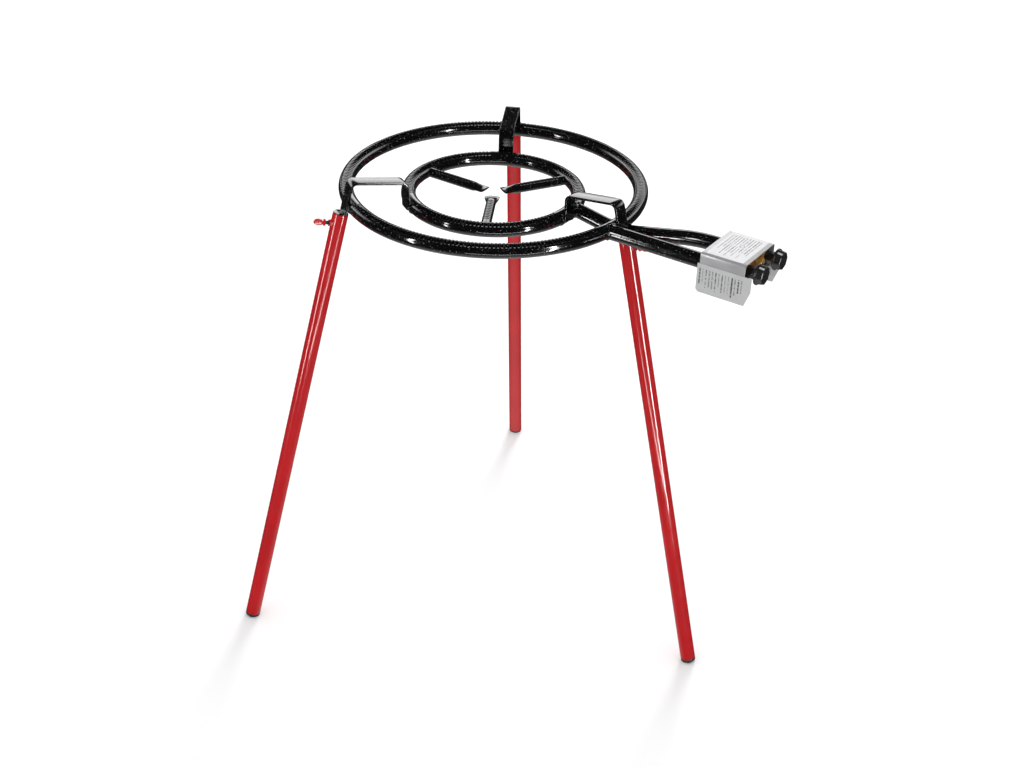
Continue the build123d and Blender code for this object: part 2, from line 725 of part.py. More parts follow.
# ---- the whole burner ------------------------------------------------------------------------------------
def make_pieces():
    pieces = {
        "outer_ring": make_outer_ring(),
        "inner_ring": make_inner_ring(),
        "outer_supply_pipe": make_outer_supply_pipe(),
        "inner_supply_pipe": make_inner_supply_pipe(),
        "valve_cover": make_valve_cover(),
        "support_plate": make_support_plate(),
        "cover_screws": make_cover_screws(),
        "manifold_screws": make_manifold_screws(),
        "side_plate_outer": make_side_plate(-1),
        "side_plate_inner": make_side_plate(1),
        "top_label": make_top_label(),
        "gas_manifold": make_manifold(),
    }
    for number, angle in enumerate(spoke_angles, start=1):
        pieces[f"ring_spoke_{number}"] = make_spoke(angle)
    for number, angle in enumerate(bracket_angles, start=1):
        pieces[f"pan_bracket_{number}"] = make_bracket(angle)
        pieces[f"leg_peg_{number}"] = make_peg(angle)
        pieces[f"leg_tube_{number}"] = make_leg(angle)
        pieces[f"foot_cap_{number}"] = make_foot_cap(angle)
        pieces[f"clamp_nut_{number}"] = make_clamp_nut(angle)
        pieces[f"thumb_screw_{number}"] = make_thumb_screw(angle)
    for name in valve_y:
        pieces[f"valve_body_{name}"] = make_valve_body(name)
        pieces[f"injector_{name}"] = make_injector(name)
        pieces[f"valve_plug_{name}"] = make_valve_plug(name)
        pieces[f"valve_spring_{name}"] = make_valve_spring(name)
        pieces[f"valve_spindle_{name}"] = make_spindle(name)
        pieces[f"gland_nut_{name}"] = make_gland_nut(name)
        pieces[f"knob_{name}"] = make_knob(name)
    return pieces


pieces = make_pieces()
whole_box = Compound([solid for piece in pieces.values() for solid in piece.solids()]).bounding_box()
middle = whole_box.center()
place_on_floor = Pos(-middle.X, -middle.Y, -whole_box.min.Z)

os.makedirs("parts", exist_ok=True)
for piece_name, piece in pieces.items():
    solids = [place_on_floor * solid for solid in piece.solids()]
    export_step(solids[0] if len(solids) == 1 else Compound(solids), f"parts/{piece_name}.step")
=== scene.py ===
import json
import math

import bmesh
import bpy
from mathutils import Matrix, Vector


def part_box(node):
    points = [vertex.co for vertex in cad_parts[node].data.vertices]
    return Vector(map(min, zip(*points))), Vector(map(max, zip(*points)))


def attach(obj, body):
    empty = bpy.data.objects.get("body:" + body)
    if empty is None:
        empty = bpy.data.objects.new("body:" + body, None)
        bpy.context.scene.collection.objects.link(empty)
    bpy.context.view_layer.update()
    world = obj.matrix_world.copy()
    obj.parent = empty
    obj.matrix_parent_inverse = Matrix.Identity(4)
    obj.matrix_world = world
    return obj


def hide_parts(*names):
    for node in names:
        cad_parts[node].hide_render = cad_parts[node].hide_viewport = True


# Two-ring paella gas burner on a red three-legged stand. Lengths are metres; sizes that the
# frame can't give are named here in millimetres times mm.
mm = 0.001

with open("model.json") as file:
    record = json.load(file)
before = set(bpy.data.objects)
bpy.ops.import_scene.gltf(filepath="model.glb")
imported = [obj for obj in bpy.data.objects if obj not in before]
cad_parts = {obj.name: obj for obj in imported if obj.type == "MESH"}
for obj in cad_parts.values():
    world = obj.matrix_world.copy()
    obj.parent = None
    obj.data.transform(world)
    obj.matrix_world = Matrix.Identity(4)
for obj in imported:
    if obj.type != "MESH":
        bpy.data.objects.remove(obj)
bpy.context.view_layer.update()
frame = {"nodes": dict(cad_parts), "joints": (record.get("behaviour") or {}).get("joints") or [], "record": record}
joints = {joint["name"]: joint for joint in frame["joints"]}

# ---- sizes shared with the frame ----
TUBE_WALL = 2.0 * mm
SPOKE_WALL = 1.5 * mm
LEG_RADIUS = 12.5 * mm
LEG_BORE = 11.0 * mm
SCREW_BELOW_RIM = 18.0 * mm
PEG_COLLAR = 1.2 * mm
PEG_COLLAR_INSET = 0.6 * mm
BAR_WIDTH = 25.0 * mm
BAR_THICKNESS = 4.0 * mm
BAR_BEND = 9.0 * mm
BAR_BITE = 1.0 * mm
BAR_HEIGHT_INNER = 28.0 * mm
BAR_HEIGHT_OUTER = 41.0 * mm
BAR_FOOT = 3.0 * mm
PORT_PITCH = 6.0 * mm
PORT_WIDTH = 3.0 * mm
PORT_FLOOR = 8.2 * mm
CUT_CELLS = 6
PORT_MARGIN = 9.0 * mm
SHEET = 1.2 * mm
LIP = 12.0 * mm
HAIR = 0.001 * mm         # keeps a turned outline just off its axis
PEG_PLAY = 0.08 * mm
PEG_LENGTH = 55.0 * mm

# ---- where things are, read from the frame ----
def middle(node):
    low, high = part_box(node)
    return (low + high) / 2


def size(node):
    low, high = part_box(node)
    return high - low


RING_AXIS = middle("outer_ring")
TUBE_RADIUS = size("outer_ring").z / 2
OUTER_RING = size("outer_ring").x / 2 - TUBE_RADIUS
INNER_RING = size("inner_ring").x / 2 - TUBE_RADIUS
INNER_RING_Z = middle("inner_ring").z
OUTER_RING_Z = RING_AXIS.z


class Leg:
    """Axis, rim and frame of one leg, from its slide joint and its thumb screw's hinge."""

    def __init__(self, number):
        self.number = number
        self.down = Vector(joints[f"leg_{number}_slide"]["axis"]).normalized()
        self.out = Vector(joints[f"clamp_{number}_turn"]["axis"]).normalized()
        nut = Vector(joints[f"clamp_{number}_turn"]["pos_m"])
        self.screw_centre = nut - self.out * LEG_RADIUS
        self.rim = self.screw_centre - self.down * SCREW_BELOW_RIM
        self.angle = math.atan2(self.out.y, self.out.x)
        self.splay = math.acos(-self.down.z)
        # local x = out, y = side, z = up the leg
        axes = Matrix((self.out, (-self.down).cross(self.out), -self.down)).transposed()
        self.matrix = Matrix.Translation(self.rim) @ axes.to_4x4()
        self.body = f"leg_{number}"
        self.clamp = f"clamp_{number}"


LEGS = [Leg(number) for number in (1, 2, 3)]


# ---- mesh tools ----
def finish_mesh(name, shape, body, slot, node=None, material=None, sharp=32.0, bevel=0.0):
    """Makes a clean smooth-shaded object in its slot's finish, on its body, standing for its node."""
    mesh = bpy.data.meshes.new(name)
    mesh.from_pydata([tuple(v) for v in shape.verts], [], shape.faces)
    work = bmesh.new()
    work.from_mesh(mesh)
    loose = [v for v in work.verts if not v.link_faces]
    bmesh.ops.delete(work, geom=loose, context="VERTS")
    bmesh.ops.remove_doubles(work, verts=work.verts, dist=1e-7)
    bmesh.ops.recalc_face_normals(work, faces=work.faces)
    work.to_mesh(mesh)
    work.free()
    mesh.polygons.foreach_set("use_smooth", [True] * len(mesh.polygons))
    mesh.set_sharp_from_angle(angle=math.radians(sharp))
    piece = bpy.data.objects.new(name, mesh)
    bpy.context.scene.collection.objects.link(piece)
    mesh.materials.append(material or FINISHES[slot])
    if bevel:
        modifier = piece.modifiers.new("edges", "BEVEL")
        modifier.width = bevel
        modifier.segments = 2
        modifier.limit_method = "ANGLE"
        modifier.angle_limit = math.radians(40)
        modifier.harden_normals = True
    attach(piece, body)
    if node:
        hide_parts(node)


def enamelled(name, shape, node=None, **shading):
    """One of the burner's welded pieces."""
    finish_mesh(name, shape, "burner", "black_enamel", node, **shading)


class Shape:
    """Collects vertices and faces of one piece."""

    def __init__(self):
        self.verts = []
        self.faces = []

    def add(self, points):
        first = len(self.verts)
        self.verts.extend(Vector(p) for p in points)
        return list(range(first, first + len(points)))

    def join(self, loop_a, loop_b):
        count = len(loop_a)
        for i in range(count):
            j = (i + 1) % count
            self.faces.append((loop_a[i], loop_a[j], loop_b[j], loop_b[i]))

    def stack(self, loops, ring=False):
        """Skins a row of equal loops; the ends are capped, or the row closes on itself."""
        ids = [self.add(loop) for loop in loops]
        for a, b in zip(ids, ids[1:]):
            self.join(a, b)
        if ring:
            self.join(ids[-1], ids[0])
        else:
            self.faces.append(tuple(ids[0]))
            self.faces.append(tuple(reversed(ids[-1])))

    def moved(self, matrix):
        self.verts = [matrix @ v for v in self.verts]
        return self


def circle(radius, count, z):
    step = 2 * math.pi / count
    return [Vector((radius * math.cos(step * i), radius * math.sin(step * i), z)) for i in range(count)]


def full_turn(count):
    """Evenly spaced angles all the way round."""
    return [2 * math.pi * i / count for i in range(count)]


def lathe(shape, profile, count, ring=False):
    """Turns (radius, height) points about local Z."""
    shape.stack([circle(r, count, z) for r, z in profile], ring)


def soft_corner(before, corner, after, radius, steps):
    """Points of one rounded corner between two edges of an outline."""
    a, c, b = Vector(before), Vector(corner), Vector(after)
    reach = min(radius, (a - c).length / 2, (b - c).length / 2)
    start = c + (a - c).normalized() * reach
    end = c + (b - c).normalized() * reach
    shares = [k / steps for k in range(steps + 1)]
    return [start * (1 - t) ** 2 + c * 2 * t * (1 - t) + end * t**2 for t in shares]


def rounded_profile(points, radius, steps):
    """Rounds the corners of an open (radius, height) outline."""
    out = [points[0]]
    for before, corner, after in zip(points, points[1:], points[2:]):
        out += [tuple(point) for point in soft_corner(before, corner, after, radius, steps)]
    return out + [points[-1]]


def rounded_corners(points, radius, steps=4):
    """Rounds every corner of a closed outline of (a, b) points."""
    out = []
    for i, corner in enumerate(points):
        out += soft_corner(points[i - 1], corner, points[(i + 1) % len(points)], radius, steps)
    return out


def bent_line(points, radii, spacing):
    """Points along a polyline with true arcs at its corners, and the tangent at each."""
    out = []
    here = points[0]
    for index in range(1, len(points) - 1):
        a, c, b = points[index - 1], points[index], points[index + 1]
        into, onward = (c - a).normalized(), (b - c).normalized()
        turn = into.angle(onward)
        reach = radii[index - 1] * math.tan(turn / 2)
        start = c - into * reach
        out.extend(spread(here, start, spacing))
        side = (onward - into * onward.dot(into)).normalized()
        centre = start + side * radii[index - 1]
        count = max(6, int(turn * radii[index - 1] / spacing) + 1)
        for k in range(count):
            angle = turn * k / count
            offset = -side * math.cos(angle) + into * math.sin(angle)
            tangent = into * math.cos(angle) + side * math.sin(angle)
            out.append((centre + offset * radii[index - 1], tangent))
        here = c + onward * reach
    last = points[-1]
    out.extend(spread(here, last, spacing))
    out.append((last, (last - points[-2]).normalized()))
    return out


def spread(start, end, spacing):
    """Evenly spaced points from start up to, not counting, end."""
    direction = end - start
    count = max(1, int(direction.length / spacing))
    return [(start + direction * (k / count), direction.normalized()) for k in range(count)]


def pipe_loops(line, radius, count, normal):
    """Circles square to a line that lies in the plane with this normal."""
    loops = []
    for centre, tangent in line:
        across = normal.cross(tangent).normalized()
        loops.append([
            centre + normal * radius * math.cos(a) + across * radius * math.sin(a) for a in full_turn(count)
        ])
    return loops


def bar_loops(line, width, thickness, edge, normal, steps=4):
    """Rounded rectangles square to a line; the bar's width runs along the normal."""
    corners = []
    for sx, sy in ((1, 1), (-1, 1), (-1, -1), (1, -1)):
        cx, cy = sx * (width / 2 - edge), sy * (thickness / 2 - edge)
        start = {(1, 1): 0, (-1, 1): 1, (-1, -1): 2, (1, -1): 3}[(sx, sy)] * math.pi / 2
        for k in range(steps + 1):
            a = start + math.pi / 2 * k / steps
            corners.append((cx + edge * math.cos(a), cy + edge * math.sin(a)))
    loops = []
    for centre, tangent in line:
        up = tangent.cross(normal).normalized()
        loops.append([centre + normal * x + up * y for x, y in corners])
    return loops


def shrink_loop(loop, amount):
    """The same loop pulled towards its middle, to round the end of a bar."""
    centre = sum(loop, Vector()) / len(loop)
    return [p + (centre - p).normalized() * amount for p in loop]


# ---- materials ----
class Tree:
    """Short calls for building one node tree."""

    def __init__(self, tree):
        self.tree = tree

    def new(self, kind, **settings):
        node = self.tree.nodes.new(kind)
        for key, value in settings.items():
            setattr(node, key, value)
        return node

    def link(self, source, target):
        self.tree.links.new(source, target)

    def math(self, operation, first, second=0.0, clamp=False):
        node = self.new("ShaderNodeMath", operation=operation, use_clamp=clamp)
        for socket, value in ((0, first), (1, second)):
            if isinstance(value, (int, float)):
                node.inputs[socket].default_value = value
            else:
                self.link(value, node.inputs[socket])
        return node.outputs[0]


class Nodes(Tree):
    """One procedural material."""

    def __init__(self, name):
        self.material = bpy.data.materials.new(name)
        self.material.use_nodes = True
        super().__init__(self.material.node_tree)
        self.shader = self.tree.nodes["Principled BSDF"]
        self.place = self.new("ShaderNodeTexCoord").outputs["Object"]

    def put(self, socket, value):
        self.shader.inputs[socket].default_value = value

    def wire(self, source, socket):
        self.link(source, self.shader.inputs[socket])

    def scaled(self, scale):
        node = self.new("ShaderNodeMapping")
        node.inputs["Scale"].default_value = scale
        self.link(self.place, node.inputs["Vector"])
        return node.outputs["Vector"]

    def noise(self, scale, detail=3.0, roughness=0.5, vector=None):
        node = self.new("ShaderNodeTexNoise")
        node.inputs["Scale"].default_value = scale
        node.inputs["Detail"].default_value = detail
        node.inputs["Roughness"].default_value = roughness
        self.link(vector or self.place, node.inputs["Vector"])
        return node.outputs["Fac"]

    def ramp(self, factor, stops):
        """A colour ramp from (position, value or colour) stops."""
        node = self.new("ShaderNodeValToRGB")
        elements = node.color_ramp.elements
        while len(elements) < len(stops):
            elements.new(0.5)
        for element, (position, value) in zip(elements, stops):
            element.position = position
            colour = value if isinstance(value, tuple) else (value, value, value)
            element.color = (*colour, 1.0)
        self.link(factor, node.inputs["Fac"])
        return node.outputs["Color"]

    def grain(self, scale, detail, low, high):
        """Noise spread between two values or colours."""
        return self.ramp(self.noise(scale, detail), [(0.3, low), (0.7, high)])

    def rough(self, scale, detail, low, high):
        self.wire(self.grain(scale, detail, low, high), "Roughness")

    def colour(self, scale, detail, low, high):
        self.wire(self.grain(scale, detail, low, high), "Base Color")

    def mix(self, factor, first, second):
        node = self.new("ShaderNodeMix", data_type="RGBA")
        for socket, value in ((0, factor), (6, first), (7, second)):
            if isinstance(value, (int, float)):
                node.inputs[socket].default_value = value if socket == 0 else (value, value, value, 1)
            elif isinstance(value, tuple):
                node.inputs[socket].default_value = (*value, 1.0)
            else:
                self.link(value, node.inputs[socket])
        return node.outputs[2]

    def bump(self, height, strength, distance):
        node = self.new("ShaderNodeBump")
        node.inputs["Strength"].default_value = strength
        node.inputs["Distance"].default_value = distance
        self.link(height, node.inputs["Height"])
        self.wire(node.outputs["Normal"], "Normal")


def enamel_material():
    """Gloss black vitreous enamel with small pale specks and a slight orange peel."""
    m = Nodes("black_speckled_enamel")

    def specks(cell_scale, radius, share):
        """Round dots in some of the cells of a jittered grid."""
        cells = m.new("ShaderNodeTexVoronoi", feature="F1")
        cells.inputs["Scale"].default_value = cell_scale
        m.link(m.place, cells.inputs["Vector"])
        near = m.math("LESS_THAN", cells.outputs["Distance"], radius)
        split = m.new("ShaderNodeSeparateColor")
        m.link(cells.outputs["Color"], split.inputs[0])
        chosen = m.math("LESS_THAN", split.outputs[0], share)
        return m.math("MULTIPLY", m.math("MULTIPLY", near, chosen), split.outputs[1])

    coarse = specks(300.0, 0.13, 0.6)
    fine = specks(620.0, 0.14, 0.3)
    dots = m.math("ADD", coarse, m.math("MULTIPLY", fine, 0.55), clamp=True)
    cloud = m.ramp(m.noise(45.0, 4.0), [(0.3, (0.0015, 0.0015, 0.0018)), (0.75, (0.004, 0.004, 0.0045))])
    m.wire(m.mix(dots, cloud, (0.75, 0.77, 0.8)), "Base Color")
    rough = m.grain(70.0, 3.0, 0.06, 0.14)
    m.wire(m.math("ADD", rough, m.math("MULTIPLY", dots, 0.25)), "Roughness")
    m.put("Specular IOR Level", 0.4)
    m.put("Coat Weight", 0.3)
    m.put("Coat Roughness", 0.04)
    peel = m.math("ADD", m.noise(420.0, 2.0), m.math("MULTIPLY", dots, 0.35))
    m.bump(peel, 0.16, 0.0004)
    return m.material


def red_paint_material():
    """Gloss red stove enamel with faint runs along the tube."""
    m = Nodes("gloss_red_paint")
    patches = m.noise(14.0, 4.0)
    tone = m.ramp(patches, [(0.3, (0.47, 0.010, 0.013)), (0.7, (0.55, 0.013, 0.017))])
    dust = m.ramp(m.noise(900.0, 2.0), [(0.62, 0.0), (0.75, 1.0)])
    m.wire(m.mix(m.math("MULTIPLY", dust, 0.08), tone, (0.35, 0.006, 0.01)), "Base Color")
    m.wire(m.ramp(m.noise(60.0, 3.0), [(0.3, 0.14), (0.75, 0.24)]), "Roughness")
    m.put("Specular IOR Level", 0.4)
    m.put("Coat Weight", 0.6)
    m.put("Coat Roughness", 0.05)
    m.bump(m.noise(120.0, 3.0), 0.08, 0.0004)
    return m.material


def brushed_sheet_material():
    """Rolled aluminium sheet, brushed along its length."""
    m = Nodes("brushed_sheet")
    along = m.noise(1.0, 5.0, 0.6, m.scaled((30.0, 900.0, 900.0)))
    blotch = m.noise(35.0, 4.0)
    blend = m.math("ADD", m.math("MULTIPLY", along, 0.6), m.math("MULTIPLY", blotch, 0.4))
    m.wire(m.ramp(blend, [(0.3, (0.38, 0.38, 0.39)), (0.7, (0.47, 0.47, 0.48))]), "Base Color")
    m.put("Metallic", 0.35)
    m.wire(m.ramp(blend, [(0.3, 0.26), (0.7, 0.42)]), "Roughness")
    m.bump(along, 0.12, 0.0002)
    return m.material


def black_plastic_material():
    """Moulded black phenolic plastic with a fine spark-eroded texture."""
    m = Nodes("moulded_black_plastic")
    m.colour(120.0, 4.0, (0.008, 0.008, 0.009), (0.016, 0.016, 0.018))
    m.rough(500.0, 3.0, 0.22, 0.38)
    m.put("Specular IOR Level", 0.5)
    m.put("Coat Weight", 0.15)
    m.put("Coat Roughness", 0.15)
    m.bump(m.noise(1500.0, 2.0), 0.1, 0.0002)
    return m.material


def painted_highlight_material():
    """Painted highlight: pale grey that varies at random, laid on an upper facet of each knob where the lamp's
    highlight falls.
    """
    m = Nodes("painted_facet_highlight")
    m.colour(400.0, 4.0, (0.36, 0.36, 0.35), (0.6, 0.6, 0.58))
    m.rough(700.0, 2.0, 0.35, 0.5)
    return m.material


def rubber_material():
    m = Nodes("foot_rubber")
    m.colour(200.0, 4.0, (0.012, 0.012, 0.012), (0.03, 0.029, 0.028))
    m.rough(300.0, 3.0, 0.45, 0.62)
    m.bump(m.noise(1200.0, 3.0), 0.2, 0.0003)
    return m.material


def brass_material():
    """Turned brass with dull patches, a little heat tint and fine tool marks."""
    m = Nodes("machined_brass")
    patches = m.noise(90.0, 5.0)
    stops = [(0.25, (0.42, 0.20, 0.05)), (0.5, (0.72, 0.42, 0.11)), (0.75, (0.85, 0.60, 0.22))]
    m.wire(m.ramp(patches, stops), "Base Color")
    m.put("Metallic", 0.75)
    m.rough(150.0, 4.0, 0.2, 0.42)
    marks = m.noise(1.0, 3.0, 0.5, m.scaled((2600.0, 260.0, 260.0)))
    m.bump(marks, 0.15, 0.0002)
    return m.material


def steel_material(name, low, high, rough):
    m = Nodes(name)
    m.colour(130.0, 4.0, (low, low, low * 1.03), (high, high, high * 1.03))
    m.put("Metallic", 1.0)
    m.rough(260.0, 4.0, rough, rough + 0.18)
    m.bump(m.noise(900.0, 3.0), 0.12, 0.0002)
    return m.material


# ---- rings ----
BRACKET_ANGLES = [leg.angle for leg in LEGS]
SPOKE_ANGLES = [math.radians(-60.7 + 120.0 * k) for k in range(3)]


def ring_point(radius, angle, height):
    return Vector((RING_AXIS.x + radius * math.cos(angle), RING_AXIS.y + radius * math.sin(angle), height))


def angle_between(first, second):
    return abs((first - second + math.pi) % (2 * math.pi) - math.pi)


def tube_section(radius, floor, count):
    """Angles from the top of a tube's section; the first CUT_CELLS cells lie above the floor."""
    edge = math.acos(floor / radius)
    top = [edge * (2 * k / CUT_CELLS - 1) for k in range(CUT_CELLS + 1)]
    rest = [edge + (2 * math.pi - 2 * edge) * k / count for k in range(1, count)]
    return top + rest


def slotted_skin(shape, outer, inner, cut, ring):
    """Two nested grids of points with the cells named by cut left open through both."""
    rows, columns = len(outer), len(outer[0])
    out_ids = [shape.add(loop) for loop in outer]
    in_ids = [shape.add(loop) for loop in inner]
    row_count = rows if ring else rows - 1

    def open_cell(i, j):
        inside = 0 <= i < row_count or ring
        return inside and cut[i % rows] and j % columns < CUT_CELLS

    for i in range(row_count):
        n = (i + 1) % rows
        for j in range(columns):
            k = (j + 1) % columns
            if not open_cell(i, j):
                shape.faces.append((out_ids[i][j], out_ids[i][k], out_ids[n][k], out_ids[n][j]))
                shape.faces.append((in_ids[i][j], in_ids[n][j], in_ids[n][k], in_ids[i][k]))
                continue
            if not open_cell(i - 1, j):
                shape.faces.append((out_ids[i][j], out_ids[i][k], in_ids[i][k], in_ids[i][j]))
            if not open_cell(i + 1, j):
                shape.faces.append((out_ids[n][k], out_ids[n][j], in_ids[n][j], in_ids[n][k]))
            if j == 0:
                shape.faces.append((out_ids[n][j], out_ids[i][j], in_ids[i][j], in_ids[n][j]))
            if j == CUT_CELLS - 1:
                shape.faces.append((out_ids[i][k], out_ids[n][k], in_ids[n][k], in_ids[i][k]))
    if not ring:
        shape.join(out_ids[0], in_ids[0])
        shape.join(in_ids[-1], out_ids[-1])


def make_ring(name, radius, height, segment_angles, feed_angle):
    """Bent tube with saw-cut flame ports across its top."""
    bar_half = (BAR_WIDTH / 2 + PORT_MARGIN) / radius
    feed_half = (TUBE_RADIUS + PORT_MARGIN) / radius
    blocked = [(angle, bar_half) for angle in BRACKET_ANGLES] + [(feed_angle, feed_half)]
    span = 2 * math.pi / len(segment_angles)
    ports = round(span * radius / PORT_PITCH)
    half_cut = PORT_WIDTH / 2 / radius
    stations = []
    for direction in segment_angles:
        for k in range(ports):
            port = direction - span / 2 + span * (k + 0.5) / ports
            is_open = all(angle_between(port, centre) > half for centre, half in blocked)
            stations.append((port - half_cut, is_open))
            stations.append((port + half_cut, False))
            stations.append((port + span / ports / 2, False))
    around = 26
    outer_angles = tube_section(TUBE_RADIUS, PORT_FLOOR, around)
    inner_angles = tube_section(TUBE_RADIUS - TUBE_WALL, PORT_FLOOR, around)

    def loop(station, section, tube):
        return [
            ring_point(radius + tube * math.sin(a), station, height + tube * math.cos(a)) for a in section
        ]

    shape = Shape()
    outer = [loop(angle, outer_angles, TUBE_RADIUS) for angle, is_open in stations]
    inner = [loop(angle, inner_angles, TUBE_RADIUS - TUBE_WALL) for angle, is_open in stations]
    slotted_skin(shape, outer, inner, [is_open for angle, is_open in stations], ring=True)
    enamelled(f"{name}_body", shape, name, bevel=0.35 * mm)


# ---- spokes ----
SPOKE_TIP = 17.0 * mm
SPOKE_LIP = 5.0 * mm
SPOKE_CRIMP = 20.0 * mm
SPOKE_RADIUS = 8.0 * mm
SPOKE_HALF_WIDTH = 12.4 * mm
SPOKE_HALF_HEIGHT = 1.95 * mm
SPOKE_PORT_FLOOR = 6.0 * mm


def ease(t):
    t = max(0.0, min(1.0, t))
    return t * t * (3 - 2 * t)


def spoke_section(x, section, inset):
    """One loop of a spoke's tube at distance x from the rings' axis."""
    flat = ease((SPOKE_TIP + SPOKE_LIP + SPOKE_CRIMP - x) / SPOKE_CRIMP)
    wide = SPOKE_RADIUS + (SPOKE_HALF_WIDTH - SPOKE_RADIUS) * flat - inset
    tall = SPOKE_RADIUS + (SPOKE_HALF_HEIGHT - SPOKE_RADIUS) * flat
    tall -= min(inset, tall - 0.25 * mm)
    return [Vector((x, wide * math.sin(a), tall * math.cos(a))) for a in section]


def make_spoke(number, angle):
    start = SPOKE_TIP
    end = INNER_RING - TUBE_RADIUS + 1.5 * mm
    crimp_end = SPOKE_TIP + SPOKE_LIP + SPOKE_CRIMP
    stations = [(start + SPOKE_LIP * k / 3, False) for k in range(4)]
    stations += [(start + SPOKE_LIP + SPOKE_CRIMP * k / 10, False) for k in range(1, 11)]
    port = crimp_end + PORT_PITCH
    while port < end - 1.6 * PORT_PITCH:
        stations.append((port - PORT_WIDTH / 2, True))
        stations.append((port + PORT_WIDTH / 2, False))
        stations.append((port + PORT_PITCH / 2, False))
        port += PORT_PITCH
    stations.append((end, False))
    outer_angles = tube_section(SPOKE_RADIUS, SPOKE_PORT_FLOOR, 24)
    inner_angles = tube_section(SPOKE_RADIUS - SPOKE_WALL, SPOKE_PORT_FLOOR, 24)
    shape = Shape()
    outer = [spoke_section(x, outer_angles, 0.0) for x, is_open in stations]
    inner = [spoke_section(x, inner_angles, SPOKE_WALL) for x, is_open in stations]
    slotted_skin(shape, outer, inner, [is_open for x, is_open in stations], ring=False)
    centre = Vector((RING_AXIS.x, RING_AXIS.y, INNER_RING_Z))
    shape.moved(Matrix.Translation(centre) @ Matrix.Rotation(angle, 4, "Z"))
    enamelled(f"spoke_tube_{number}", shape, f"ring_spoke_{number}", bevel=0.3 * mm)


# ---- weld beads ----
RIPPLE = 2.6 * mm
PIPE_BEAD = 2.3 * mm


def bead(name, points, radius, ring):
    """Rippled weld bead along points; enamel has rounded it over."""
    shape = Shape()
    around = [math.pi * k / 5 for k in range(10)]
    loops = []
    travelled = 0.0
    count = len(points)
    for i, point in enumerate(points):
        before = points[(i - 1) % count] if ring or i else point
        after = points[(i + 1) % count] if ring or i < count - 1 else point
        tangent = (after - before).normalized()
        if i:
            travelled += (point - points[i - 1]).length
        helper = Vector((0, 0, 1)) if abs(tangent.z) < 0.8 else Vector((1, 0, 0))
        across = tangent.cross(helper).normalized()
        up = across.cross(tangent)
        wave = 1.0 + 0.10 * math.sin(2 * math.pi * travelled / RIPPLE)
        wave += 0.06 * math.sin(2 * math.pi * travelled / (RIPPLE * 3.7) + 1.0)
        taper = 1.0 if ring else min(1.0, 0.45 + 0.3 * min(i, count - 1 - i))
        r = radius * wave * taper
        loops.append([point + (across * math.cos(a) + up * math.sin(a)) * r for a in around])
    shape.stack(loops, ring)
    enamelled(name, shape, sharp=60)


def pipe_seam(centre_y, centre_z, pipe_radius, ring_radius, ring_z):
    """Where a pipe parallel to X meets the outside of a ring's tube."""
    points = []
    for a in full_turn(56):
        y = centre_y + pipe_radius * math.cos(a) - RING_AXIS.y
        z = centre_z + pipe_radius * math.sin(a) - ring_z
        reach = math.sqrt(max(TUBE_RADIUS**2 - z**2, 0.0))
        radial = ring_radius + reach
        points.append(Vector((RING_AXIS.x + math.sqrt(radial**2 - y**2), RING_AXIS.y + y, ring_z + z)))
    return points


# ---- supply pipes ----
PIPE_WALL = 2.0 * mm
DIP = {"start": 362.0 * mm, "bottom_start": 242.0 * mm, "bottom_end": 200.0 * mm}
DIP_BENDS = [300.0 * mm, 120.0 * mm, 120.0 * mm]
UNDER_RING_GAP = 1.5 * mm


def make_pipe(name, points, bends):
    """Round tube with a sawn open end inside the valve cover."""
    line = bent_line(points, bends, 9 * mm)
    normal = Vector((0, 1, 0))
    outer = pipe_loops(line, TUBE_RADIUS, 40, normal)
    inner = pipe_loops(line, TUBE_RADIUS - PIPE_WALL, 40, normal)
    shape = Shape()
    shape.stack(outer + list(reversed(inner)), ring=True)
    enamelled(f"{name}_tube", shape, name, bevel=0.4 * mm)


def make_pipes():
    end_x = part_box("outer_supply_pipe")[1].x
    y = middle("outer_supply_pipe").y
    start_x = RING_AXIS.x + math.sqrt(OUTER_RING**2 - (y - RING_AXIS.y) ** 2) + 9.5 * mm
    make_pipe(
        "outer_supply_pipe", [Vector((start_x, y, OUTER_RING_Z)), Vector((end_x, y, OUTER_RING_Z))], []
    )
    seam = pipe_seam(y, OUTER_RING_Z, TUBE_RADIUS * 0.985, OUTER_RING, OUTER_RING_Z)
    bead("outer_pipe_weld", seam, PIPE_BEAD, True)
    y = middle("inner_supply_pipe").y
    start_x = RING_AXIS.x + math.sqrt(INNER_RING**2 - (y - RING_AXIS.y) ** 2) + 9.5 * mm
    low_z = OUTER_RING_Z - 2 * TUBE_RADIUS - UNDER_RING_GAP
    points = [
        Vector((end_x, y, OUTER_RING_Z)),
        Vector((RING_AXIS.x + DIP["start"], y, OUTER_RING_Z)),
        Vector((RING_AXIS.x + DIP["bottom_start"], y, low_z)),
        Vector((RING_AXIS.x + DIP["bottom_end"], y, low_z)),
        Vector((start_x, y, INNER_RING_Z - 1.0 * mm)),
    ]
    make_pipe("inner_supply_pipe", points, DIP_BENDS)
    seam = pipe_seam(y, INNER_RING_Z - 0.6 * mm, TUBE_RADIUS * 0.95, INNER_RING, INNER_RING_Z)
    bead("inner_pipe_weld", seam, PIPE_BEAD, True)


# ---- pan brackets and pegs ----
def plane_point(leg, radius, height):
    return ring_point(radius, leg.angle, height)


def leg_line_radius(leg, height, offset):
    """Radius of the line parallel to a leg that passes the outer ring's tube at this offset."""
    drop = (height - OUTER_RING_Z) * math.sin(leg.splay)
    return OUTER_RING + (offset - drop) / math.cos(leg.splay)


